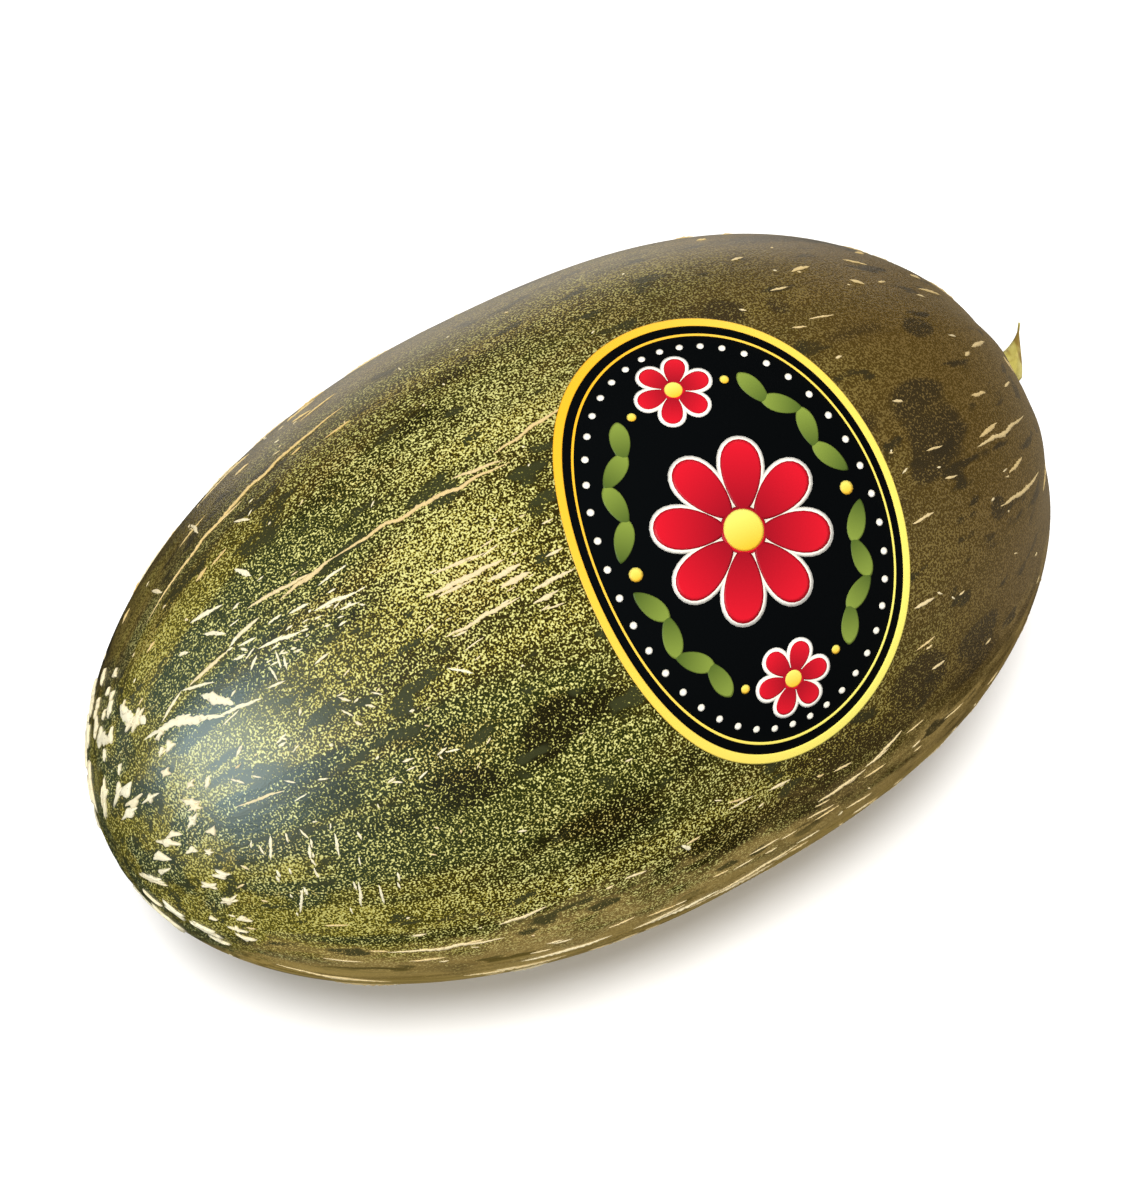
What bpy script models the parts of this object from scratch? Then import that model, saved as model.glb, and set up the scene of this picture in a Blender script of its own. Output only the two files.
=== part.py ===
"""A piel de sapo melon lying on its side, with its broken stem stub and its oval paper label.

The melon's length runs along X, from the blossom end at -X to the stem end at +X, and +Z is up.
While the pieces are made, the middle of the melon is at the origin. The last step lowers them onto
z = 0, with the whole melon's box centred over the origin.

A place on the skin is given by x, the distance from the melon's middle along its length, and by an
angle round it, in degrees from the top, positive towards -Y. All lengths are in metres.
"""

import math
import random
from typing import NamedTuple

import bmesh
import bpy
from mathutils import Vector

COLLECTION_NAME = "Piel de sapo melon"
GAP = 0.0003
WELD = 0.00002
CREASE_DEGREES = 25

# The melon's size and the curve of its side, which is fuller towards the stem
LENGTH = 0.270
GIRTH_RADIUS = 0.0831
BLOSSOM_POWER = 1.99
STEM_POWER = 2.66
MELON_SEGMENTS = 64
MELON_RINGS = 44
POLE_CROWDING = 0.5

# The flat spot that the melon rests on is this far inside its lowest line
REST_DEPTH = 0.0013

# Slightly out of round: waves round the girth as (count, share of the radius, turn in degrees)
GIRTH_WAVES = ((2, 0.0030, 25.0), (3, 0.0026, 100.0), (5, 0.0012, 40.0))

# The shoulders round the stem are uneven too: such waves, which grow from the middle to the stem end
SHOULDER_WAVES = ((1, 0.0065, -25.0), (4, 0.0030, 10.0))
SHOULDER_FROM = 0.35
SHOULDER_FULL = 0.85

# Shallow furrows from end to end, as (count, share of the depth, turn in degrees)
FURROW_WAVES = ((9, 0.55, 12.0), (13, 0.30, 70.0), (6, 0.15, 150.0))
FURROW_DEPTH_MIDDLE = 0.00025
FURROW_DEPTH_ENDS = 0.0012
FURROW_FULL_RADIUS = 0.022
FURROW_SUNK_SHARE = 0.2

# The shallow seat of the stem, a little off the middle of its end, and the sunk scar left by the flower
SEAT_MIDDLE = Vector((LENGTH / 2 - 0.0026, 0.0035, 0.0015))
SEAT_RADIUS = 0.0085
SEAT_EDGE_RADIUS = 0.0185
SCAR_DEPTH = 0.0009
SCAR_RADIUS = 0.0045
SCAR_EDGE_RADIUS = 0.0085

# Raised cork lines on the rind
LINE_RADIUS = 0.0013
LINE_END_SHARE = 0.5
LINE_STANDS_PROUD = 0.0009
LINE_END_STANDS_PROUD = 0.0002
LINE_WANDER = 0.0011
LINE_STEP = 0.013
LINE_TURN_DEGREES = 6
CORK_SEED = 11

# Short ticks across the furrows near the blossom end, on the sides away from the label
TICKS = 12
TICK_ANGLES = (95, 320)
TICK_STARTS = (-0.112, -0.085)
TICK_SLANT = 0.002
TICK_DEGREES = 8

# A broken ring of cork patches round the flower's scar
RING_RADIUS = 0.0195
RING_SPREAD = (0.88, 1.12)
RING_PATCHES = 9
RING_PATCH_SHIFT = (0.2, 0.8)
RING_PATCH_HALF_DEGREES = (7.7, 14.3)
RING_PATCH_SLANT = 0.001
RING_PATCH_RADIUS = 0.0018

# The oval label: its middle, its half sizes round and along the melon, and its turn
LABEL_X = 0.0259
LABEL_ANGLE = 27.2
LABEL_HALF_ROUND = 0.0622
LABEL_HALF_ALONG = 0.0427
LABEL_TURN = 4.4
LABEL_THICKNESS = 0.0004
LABEL_RINGS = 6
LABEL_SEGMENTS = 48
LABEL_CLEARANCE = 0.005

# The stem stub: its axis bends from the seat through a corner to the tip, all from the melon's middle.
# It has a flared foot and a neck, and is torn off at a slant, which leaves a thin pointed tongue.
STEM_CORNER = Vector((LENGTH / 2 + 0.0055, SEAT_MIDDLE.y, SEAT_MIDDLE.z))
STEM_TIP = Vector((LENGTH / 2 + 0.0100, 0.0100, 0.0122))
STEM_FOOT_RADIUS = 0.0062
STEM_NECK_RADIUS = 0.0044
STEM_FOOT_SHARE = 0.30
STEM_TEAR_RADIUS = 0.0095
STEM_TEAR_POWER = 1.55
STEM_TIP_RADIUS = 0.00035
STEM_TONGUE_WIDTH = 1.5
STEM_RIDGES = 5
STEM_RIDGE_DEPTH = 0.07
STEM_SIDES = 20
STEM_CUTS = 14

# Colour, roughness
RIND_LOOK = ((0.19, 0.17, 0.055), 0.38)
STEM_LOOK = ((0.42, 0.36, 0.10), 0.55)
LABEL_LOOK = ((0.012, 0.012, 0.013), 0.30)


class CorkLine(NamedTuple):
    """One raised line, from a place on the skin to another: x in metres, angles in degrees."""

    from_x: float
    from_angle: float
    to_x: float
    to_angle: float
    radius: float = LINE_RADIUS


class CorkZone(NamedTuple):
    """Lines scattered over a stretch of the skin: how many, their angles, starts in x, and lengths."""

    count: int
    angles: tuple[float, float]
    starts: tuple[float, float]
    lengths: tuple[float, float]


FRONT_ZONE = CorkZone(16, (-60, 95), (-0.115, 0.085), (0.008, 0.022))
STEM_END_ZONE = CorkZone(9, (-70, 85), (0.076, 0.102), (0.007, 0.017))
BACK_ZONE = CorkZone(24, (100, 300), (-0.118, 0.080), (0.012, 0.036))

# The lines that stand out most on the side with the label
MAIN_LINES = (
    CorkLine(-0.037, -39, -0.105, -36),
    CorkLine(-0.016, -2, -0.079, -6),
    CorkLine(0.003, -7, -0.018, -5),
    CorkLine(-0.078, -7, -0.094, -5),
    CorkLine(-0.096, -2, -0.115, -4),
    CorkLine(-0.095, 12, -0.118, -4, 0.0014),
    CorkLine(-0.062, 5, -0.075, 3),
    CorkLine(-0.080, 3, -0.090, 2),
    CorkLine(-0.030, 13, -0.050, 12),
    CorkLine(-0.036, 9, -0.055, 8),
    CorkLine(-0.063, 87, -0.090, 87),
    CorkLine(-0.052, 80, -0.064, 82),
    CorkLine(0.038, 84, 0.023, 85),
    CorkLine(0.050, 80, 0.040, 83),
    CorkLine(0.120, 37, 0.097, 35),
    CorkLine(0.117, 55, 0.097, 50),
    CorkLine(-0.106, 42, -0.108, 50),
    CorkLine(-0.093, 47, -0.094, 53),
    CorkLine(-0.092, 61, -0.093, 69),
    CorkLine(-0.104, 61, -0.106, 70),
    CorkLine(-0.099, 47, -0.100, 53),
    CorkLine(-0.087, 62, -0.088, 69),
    CorkLine(-0.110, 32, -0.099, 33),
    CorkLine(-0.082, -50, -0.083, -42),
    CorkLine(-0.099, -46, -0.098, -38),
)

# Crusts of cork round the blossom end on that side, shorter and broader than the lines
BLOSSOM_CRUSTS = (
    CorkLine(-0.107, 3, -0.098, 7, 0.0018),
    CorkLine(-0.084, -20, -0.083, -14, 0.0014),
    CorkLine(-0.099, -20, -0.091, -14, 0.0014),
    CorkLine(-0.107, -15, -0.102, -11, 0.0015),
    CorkLine(-0.071, -2, -0.062, -1, 0.0013),
    CorkLine(-0.074, 3, -0.063, 6, 0.0013),
    CorkLine(-0.066, -10, -0.058, -8, 0.0013),
    CorkLine(-0.087, 4, -0.087, 9, 0.0013),
    CorkLine(-0.121, -30, -0.121, -17, 0.0018),
    CorkLine(-0.127, -48, -0.126, -27, 0.0017),
)


def smooth_step(value: float) -> float:
    """Ease from 0 to 1 as the value goes from 0 to 1."""
    value = min(max(value, 0.0), 1.0)
    return value * value * (3 - 2 * value)


def waves(angle: float, table: tuple) -> float:
    """Sum the waves of a table at an angle in radians."""
    return sum(size * math.sin(count * angle + math.radians(turn)) for count, size, turn in table)


def skin(way: float, angle: float) -> Vector:
    """Return a point of the skin.

    The way goes from 0 at the blossom end to pi at the stem end, and the angle is in radians.
    """
    share = -math.cos(way)
    power = BLOSSOM_POWER if share < 0 else STEM_POWER
    radius = GIRTH_RADIUS * math.sqrt(max(1 - abs(share) ** power, 0.0))
    depth = FURROW_DEPTH_MIDDLE + (FURROW_DEPTH_ENDS - FURROW_DEPTH_MIDDLE) * share**6
    depth *= min(radius / FURROW_FULL_RADIUS, 1.0)
    shoulder = smooth_step((share - SHOULDER_FROM) / (SHOULDER_FULL - SHOULDER_FROM))
    radius *= 1 + waves(angle, GIRTH_WAVES) + shoulder * waves(angle, SHOULDER_WAVES)
    radius += depth * (waves(angle, FURROW_WAVES) - FURROW_SUNK_SHARE)
    place = Vector((share * LENGTH / 2, -radius * math.sin(angle), radius * math.cos(angle)))
    if share > 0:
        off_seat = (place - SEAT_MIDDLE).yz.length
        seat = 1 - smooth_step((off_seat - SEAT_RADIUS) / (SEAT_EDGE_RADIUS - SEAT_RADIUS))
        place.x += seat * (SEAT_MIDDLE.x - place.x)
    else:
        scar = 1 - smooth_step((radius - SCAR_RADIUS) / (SCAR_EDGE_RADIUS - SCAR_RADIUS))
        place.x += scar * (-LENGTH / 2 + SCAR_DEPTH - place.x)
    return place


def skin_place(x: float, degrees: float, lift: float = 0.0) -> Vector:
    """Return the point of the skin at x and an angle, lifted straight off it."""
    way = math.acos(min(max(-2 * x / LENGTH, -1.0), 1.0))
    angle = math.radians(degrees)
    nudge = 0.004
    along = skin(way + nudge, angle) - skin(way - nudge, angle)
    around = skin(way, angle + nudge) - skin(way, angle - nudge)
    return skin(way, angle) + along.cross(around).normalized() * -lift


def side_radius(x: float) -> float:
    """Return the plain radius of the melon at x."""
    share = 2 * x / LENGTH
    power = BLOSSOM_POWER if share < 0 else STEM_POWER
    return GIRTH_RADIUS * math.sqrt(max(1 - abs(share) ** power, 0.0))


def material(name: str, look: tuple) -> bpy.types.Material:
    """Return a plain Principled material."""
    colour, roughness = look
    made = bpy.data.materials.new(name)
    made.use_nodes = True
    shader = made.node_tree.nodes["Principled BSDF"]
    shader.inputs["Base Color"].default_value = (*colour, 1.0)
    shader.inputs["Roughness"].default_value = roughness
    shader.inputs["Metallic"].default_value = 0.0
    return made


def add_object(name: str, mesh: bmesh.types.BMesh, collection: bpy.types.Collection) -> bpy.types.Object:
    """Make an object from a bmesh, smooth shaded, and free the bmesh."""
    data = bpy.data.meshes.new(name)
    mesh.to_mesh(data)
    mesh.free()
    data.shade_smooth()
    data.set_sharp_from_angle(angle=math.radians(CREASE_DEGREES))
    made = bpy.data.objects.new(name, data)
    collection.objects.link(made)
    return made


def crowded(way: float) -> float:
    """Move rings of the sphere towards its poles, where the small forms are."""
    return way - POLE_CROWDING * math.sin(2 * way) / 2


def make_melon(collection: bpy.types.Collection) -> bpy.types.Object:
    """Make the melon's bare body from a sphere whose poles are the two ends."""
    mesh = bmesh.new()
    bmesh.ops.create_uvsphere(mesh, u_segments=MELON_SEGMENTS, v_segments=MELON_RINGS, radius=1.0)
    for vert in mesh.verts:
        way = math.acos(min(max(-vert.co.z, -1.0), 1.0))
        vert.co = skin(crowded(way), math.atan2(vert.co.y, vert.co.x))
    floor = -GIRTH_RADIUS + REST_DEPTH
    everything = mesh.verts[:] + mesh.edges[:] + mesh.faces[:]
    cut = bmesh.ops.bisect_plane(
        mesh, geom=everything, plane_co=(0, 0, floor), plane_no=(0, 0, -1), clear_outer=True
    )
    rim = [item for item in cut["geom_cut"] if isinstance(item, bmesh.types.BMEdge)]
    bmesh.ops.edgenet_fill(mesh, edges=rim)
    bmesh.ops.recalc_face_normals(mesh, faces=mesh.faces)
    return add_object("melon", mesh, collection)


def off_the_label(x: float, degrees: float) -> bool:
    """Say whether a place on the skin is clear of the label and its margin."""
    turn = math.radians(LABEL_TURN)
    round_by = math.radians(degrees - LABEL_ANGLE) * side_radius(x)
    along = (x - LABEL_X) * math.cos(turn) + round_by * math.sin(turn)
    across = round_by * math.cos(turn) - (x - LABEL_X) * math.sin(turn)
    reach = math.hypot(
        along / (LABEL_HALF_ALONG + LABEL_CLEARANCE), across / (LABEL_HALF_ROUND + LABEL_CLEARANCE)
    )
    return reach > 1


def off_the_floor(x: float, degrees: float) -> bool:
    """Say whether a place on the skin is well above the flat spot."""
    return skin_place(x, degrees).z > -GIRTH_RADIUS + 3 * REST_DEPTH


def cork_places(line: CorkLine, draw: random.Random) -> list[tuple[float, float]]:
    """Return the places that a cork line runs through, wandering a little to each side."""
    middle = side_radius((line.from_x + line.to_x) / 2)
    across = math.radians(line.to_angle - line.from_angle) * middle
    count = max(2, round(1 + math.hypot(line.to_x - line.from_x, across) / LINE_STEP))
    places = []
    for step in range(count + 1):
        share = step / count
        wander = draw.uniform(-LINE_WANDER, LINE_WANDER) * math.sin(math.pi * share)
        x = line.from_x + (line.to_x - line.from_x) * share + wander / 2
        angle = line.from_angle + (line.to_angle - line.from_angle) * share
        places.append((x, angle + math.degrees(wander / middle)))
    return places


def add_cork(places: list[tuple[float, float]], radius: float, collection: bpy.types.Collection) -> None:
    """Add a tapered tube through the places, sunk into the skin so that a low ridge stands out."""
    curve = bpy.data.curves.new("Cork line", "CURVE")
    curve.dimensions = "3D"
    curve.bevel_depth = radius
    curve.bevel_resolution = 0
    curve.use_fill_caps = True
    spline = curve.splines.new("POLY")
    spline.points.add(len(places) - 1)
    for step, (x, angle) in enumerate(places):
        fullness = math.sin(math.pi * step / (len(places) - 1))
        size = LINE_END_SHARE + (1 - LINE_END_SHARE) * fullness
        proud = LINE_END_STANDS_PROUD + (LINE_STANDS_PROUD - LINE_END_STANDS_PROUD) * fullness
        point = spline.points[step]
        point.co = (*skin_place(x, angle, proud - radius * size), 1.0)
        point.radius = size
    guide = bpy.data.objects.new("Cork line", curve)
    collection.objects.link(guide)
    bpy.context.view_layer.update()
    solid = bpy.data.meshes.new_from_object(guide.evaluated_get(bpy.context.evaluated_depsgraph_get()))
    tube = bmesh.new()
    tube.from_mesh(solid)
    bmesh.ops.remove_doubles(tube, verts=tube.verts, dist=WELD)
    bmesh.ops.recalc_face_normals(tube, faces=tube.faces)
    bpy.data.objects.remove(guide)
    bpy.data.meshes.remove(solid)
    add_object("Cork ridge", tube, collection)


def main_side_cork(draw: random.Random, collection: bpy.types.Collection) -> None:
    """Add the lines and crusts that stand out on the side with the label."""
    for line in MAIN_LINES + BLOSSOM_CRUSTS:
        add_cork(cork_places(line, draw), line.radius, collection)


def scattered_cork(zone: CorkZone, draw: random.Random, collection: bpy.types.Collection) -> None:
    """Add a zone's lines by a rule, spread evenly round it, clear of label and floor."""
    made = 0
    while made < zone.count:
        angle = zone.angles[0] + (zone.angles[1] - zone.angles[0]) * (made + draw.random()) / zone.count
        start = draw.uniform(*zone.starts)
        end = start + draw.uniform(*zone.lengths)
        line = CorkLine(start, angle, end, angle + draw.uniform(-LINE_TURN_DEGREES, LINE_TURN_DEGREES))
        places = cork_places(line, draw)
        if all(off_the_label(*place) and off_the_floor(*place) for place in places):
            add_cork(places, line.radius, collection)
            made += 1


def blossom_ticks(draw: random.Random, collection: bpy.types.Collection) -> None:
    """Add short ticks that cross the furrows near the blossom end."""
    for number in range(TICKS):
        angle = TICK_ANGLES[0] + (TICK_ANGLES[1] - TICK_ANGLES[0]) * (number + draw.random()) / TICKS
        start = draw.uniform(*TICK_STARTS)
        places = cork_places(CorkLine(start, angle, start - TICK_SLANT, angle + TICK_DEGREES), draw)
        if all(off_the_floor(*place) for place in places):
            add_cork(places, LINE_RADIUS, collection)


def blossom_ring(draw: random.Random, collection: bpy.types.Collection) -> None:
    """Add the broken ring of cork patches round the flower's scar."""
    for number in range(RING_PATCHES):
        middle = 360 * (number + draw.uniform(*RING_PATCH_SHIFT)) / RING_PATCHES
        radius = RING_RADIUS * draw.uniform(*RING_SPREAD)
        x = -LENGTH / 2 * (1 - (radius / GIRTH_RADIUS) ** 2) ** (1 / BLOSSOM_POWER)
        half = draw.uniform(*RING_PATCH_HALF_DEGREES)
        to_x = x + draw.uniform(-RING_PATCH_SLANT, RING_PATCH_SLANT)
        line = CorkLine(x, middle - half, to_x, middle + half)
        add_cork(cork_places(line, draw), RING_PATCH_RADIUS, collection)


def fuse_cork(melon: bpy.types.Object, cork: bpy.types.Collection) -> None:
    """Join every cork ridge to the melon in one union, apply it and drop the ridges."""
    union = melon.modifiers.new("Cork", "BOOLEAN")
    union.operation = "UNION"
    union.operand_type = "COLLECTION"
    union.collection = cork
    union.solver = "EXACT"
    bpy.context.view_layer.update()
    graph = bpy.context.evaluated_depsgraph_get()
    joined = bpy.data.meshes.new_from_object(melon.evaluated_get(graph))
    joined.set_sharp_from_angle(angle=math.radians(CREASE_DEGREES))
    melon.modifiers.clear()
    melon.data = joined
    for ridge in list(cork.objects):
        bpy.data.objects.remove(ridge)
    bpy.data.collections.remove(cork)


def stem_axis(share: float) -> Vector:
    """Return a point of the stem's axis, from 0 at its foot to 1 at its tip."""
    foot = SEAT_MIDDLE + Vector((GAP, 0, 0))
    return foot.lerp(STEM_CORNER, share).lerp(STEM_CORNER.lerp(STEM_TIP, share), share)


def stem_radius(share: float) -> float:
    """Return the stem's radius: a flared foot, a neck and the slanting tear up to the tip."""
    flare = 1 - smooth_step(share / STEM_FOOT_SHARE)
    neck = STEM_NECK_RADIUS + (STEM_FOOT_RADIUS - STEM_NECK_RADIUS) * flare
    tear = STEM_TEAR_RADIUS * max(1 - share, 0.0) ** STEM_TEAR_POWER
    return max(min(neck, tear), STEM_TIP_RADIUS)


def make_stem(collection: bpy.types.Collection) -> bpy.types.Object:
    """Make the stem stub from a cylinder bent along its axis, ridged, and torn to a thin tongue."""
    mesh = bmesh.new()
    bmesh.ops.create_cone(
        mesh, cap_ends=True, cap_tris=True, segments=STEM_SIDES, radius1=1.0, radius2=1.0, depth=1.0
    )
    sides = [edge for edge in mesh.edges if abs(edge.verts[0].co.z - edge.verts[1].co.z) > GAP]
    bmesh.ops.subdivide_edges(mesh, edges=sides, cuts=STEM_CUTS, use_grid_fill=True)
    flat_way = (stem_axis(0.5) - stem_axis(0)).cross(STEM_TIP - STEM_CORNER).normalized()
    for vert in mesh.verts:
        share = vert.co.z + 0.5
        angle = math.atan2(vert.co.y, vert.co.x)
        ahead = (stem_axis(share + 0.001) - stem_axis(share)).normalized()
        outer_way = flat_way.cross(ahead)
        radius = stem_radius(share) * min(math.hypot(vert.co.x, vert.co.y), 1.0)
        width = 1 + (STEM_TONGUE_WIDTH - 1) * smooth_step(share)
        radius *= 1 + STEM_RIDGE_DEPTH * math.cos(STEM_RIDGES * angle)
        outwards = outer_way * math.cos(angle) + flat_way * (width * math.sin(angle))
        vert.co = stem_axis(share) + outwards * radius
    return add_object("stem", mesh, collection)


def label_place(share: float, turn: float) -> Vector:
    """Return a point of the label's underside, from its middle, at 0, to its rim, at 1."""
    tilt = math.radians(LABEL_TURN)
    round_by = LABEL_HALF_ROUND * share * math.cos(turn)
    along = LABEL_HALF_ALONG * share * math.sin(turn)
    x = LABEL_X + along * math.cos(tilt) - round_by * math.sin(tilt)
    across = along * math.sin(tilt) + round_by * math.cos(tilt)
    return skin_place(x, LABEL_ANGLE + math.degrees(across / side_radius(x)), GAP)


def make_label(collection: bpy.types.Collection) -> bpy.types.Object:
    """Make the label as a thin oval sheet laid round the melon's side."""
    mesh = bmesh.new()
    spoke = [mesh.verts.new((step / LABEL_RINGS, 0, 0)) for step in range(LABEL_RINGS + 1)]
    edges = [mesh.edges.new(pair) for pair in zip(spoke, spoke[1:])]
    bmesh.ops.spin(
        mesh,
        geom=spoke + edges,
        axis=(0, 0, 1),
        cent=(0, 0, 0),
        angle=2 * math.pi,
        steps=LABEL_SEGMENTS,
        use_merge=True,
    )
    bmesh.ops.remove_doubles(mesh, verts=mesh.verts, dist=GAP)
    bmesh.ops.recalc_face_normals(mesh, faces=mesh.faces)
    for vert in mesh.verts:
        vert.co = label_place(math.hypot(vert.co.x, vert.co.y), math.atan2(vert.co.y, vert.co.x))
    label = add_object("label", mesh, collection)
    if label.data.polygons[0].normal.dot(label.data.polygons[0].center) < 0:
        label.data.flip_normals()
    sheet = label.modifiers.new("Paper", "SOLIDIFY")
    sheet.thickness = LABEL_THICKNESS
    sheet.offset = 1.0
    sheet.use_even_offset = True
    return label


def stand_over_origin(pieces: list[bpy.types.Object]) -> None:
    """Lower the pieces onto z = 0 and centre the box round all of them over the origin."""
    corners = [vert.co for piece in pieces for vert in piece.data.vertices]
    middle = [(min(c[axis] for c in corners) + max(c[axis] for c in corners)) / 2 for axis in (0, 1)]
    shift = Vector((-middle[0], -middle[1], GIRTH_RADIUS - REST_DEPTH))
    for piece in pieces:
        for vert in piece.data.vertices:
            vert.co += shift


def main() -> None:
    """Make the melon, its stem and its label."""
    for old in list(bpy.data.objects):
        bpy.data.objects.remove(old)
    collection = bpy.data.collections.new(COLLECTION_NAME)
    cork = bpy.data.collections.new("Cork ridges")
    bpy.context.scene.collection.children.link(collection)
    bpy.context.scene.collection.children.link(cork)
    draw = random.Random(CORK_SEED)

    melon = make_melon(collection)
    main_side_cork(draw, cork)
    for zone in (FRONT_ZONE, STEM_END_ZONE, BACK_ZONE):
        scattered_cork(zone, draw, cork)
    blossom_ticks(draw, cork)
    blossom_ring(draw, cork)
    fuse_cork(melon, cork)
    stem = make_stem(collection)
    label = make_label(collection)
    stand_over_origin([melon, stem, label])

    melon.data.materials.append(material("Rind", RIND_LOOK))
    stem.data.materials.append(material("Stem", STEM_LOOK))
    label.data.materials.append(material("Label paper", LABEL_LOOK))


main()
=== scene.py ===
"""Looks of a piel de sapo melon: its speckled rind, raised cork lines, stem stub and oval label.

A place on the skin is given by x, the distance from the melon's middle along its length, and by an
angle round it in degrees from the top, positive towards -Y. Lengths are in metres unless a name or
a docstring says millimetres. An edge is a pair of values between which something rises from 0 to 1.
"""

import logging
import math
import random
from dataclasses import dataclass, field
from enum import Enum
from typing import NamedTuple

import bmesh
import bpy
import numpy as np
from mathutils import Matrix, Vector

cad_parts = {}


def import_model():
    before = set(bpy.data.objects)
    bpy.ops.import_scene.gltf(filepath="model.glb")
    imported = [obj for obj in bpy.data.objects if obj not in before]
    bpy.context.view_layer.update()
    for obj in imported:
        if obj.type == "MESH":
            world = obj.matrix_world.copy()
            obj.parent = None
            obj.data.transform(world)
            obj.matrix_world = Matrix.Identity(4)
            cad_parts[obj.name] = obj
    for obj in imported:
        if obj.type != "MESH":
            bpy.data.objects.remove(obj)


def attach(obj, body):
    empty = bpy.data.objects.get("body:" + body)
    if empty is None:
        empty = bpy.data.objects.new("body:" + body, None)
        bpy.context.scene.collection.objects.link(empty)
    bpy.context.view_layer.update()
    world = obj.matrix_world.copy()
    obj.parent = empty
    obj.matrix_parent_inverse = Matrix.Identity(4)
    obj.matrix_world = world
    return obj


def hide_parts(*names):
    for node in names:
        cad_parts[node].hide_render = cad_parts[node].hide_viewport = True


LOG = logging.getLogger("melon")
BODY = "root"
MM = 0.001
TINT = "tint"
MELON_MIDDLE = Vector((-0.0054968, -0.000114, 0.0818))
NEAR_END = 0.999
NOISE_MEAN = 0.5
WIGGLE_SHARES = (0.6, 0.4)
WIGGLE_RATE = 1.7

Colour = tuple[float, float, float]
Triple = tuple[float, float, float]
Span = tuple[float, float]
Socket = bpy.types.NodeSocket


def smooth_step(value: np.ndarray) -> np.ndarray:
    """Ease from 0 to 1 as the value goes from 0 to 1."""
    value = np.clip(value, 0.0, 1.0)
    return value * value * (3 - 2 * value)


def waves(angle: np.ndarray, table: tuple[tuple[int, float, float], ...]) -> np.ndarray:
    """Sum the waves of a table of (count, size, turn in degrees) at an angle in radians."""
    return sum(size * np.sin(count * angle + math.radians(turn)) for count, size, turn in table)


def wiggle(distance: np.ndarray, wave: float, draw: random.Random) -> np.ndarray:
    """Return a smooth random wave from -1 to 1 along a distance.

    Args:
        distance: how far along, as an array.
        wave: the length of the slower wave.
        draw: the source of the random draws.

    Returns:
        The height of the wave at each distance.
    """
    slow, quick = WIGGLE_SHARES
    first, second = draw.uniform(0, 2 * math.pi), draw.uniform(0, 2 * math.pi)
    turn = 2 * math.pi * distance / wave
    return slow * np.sin(turn + first) + quick * np.sin(WIGGLE_RATE * turn + second)


def linear(red: int, green: int, blue: int) -> Colour:
    """Turn a colour of 0 to 255, as a screen shows it, into the renderer's own values."""
    shares = (red / 255, green / 255, blue / 255)
    return tuple(s / 12.92 if s <= 0.04045 else ((s + 0.055) / 1.055) ** 2.4 for s in shares)


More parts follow.
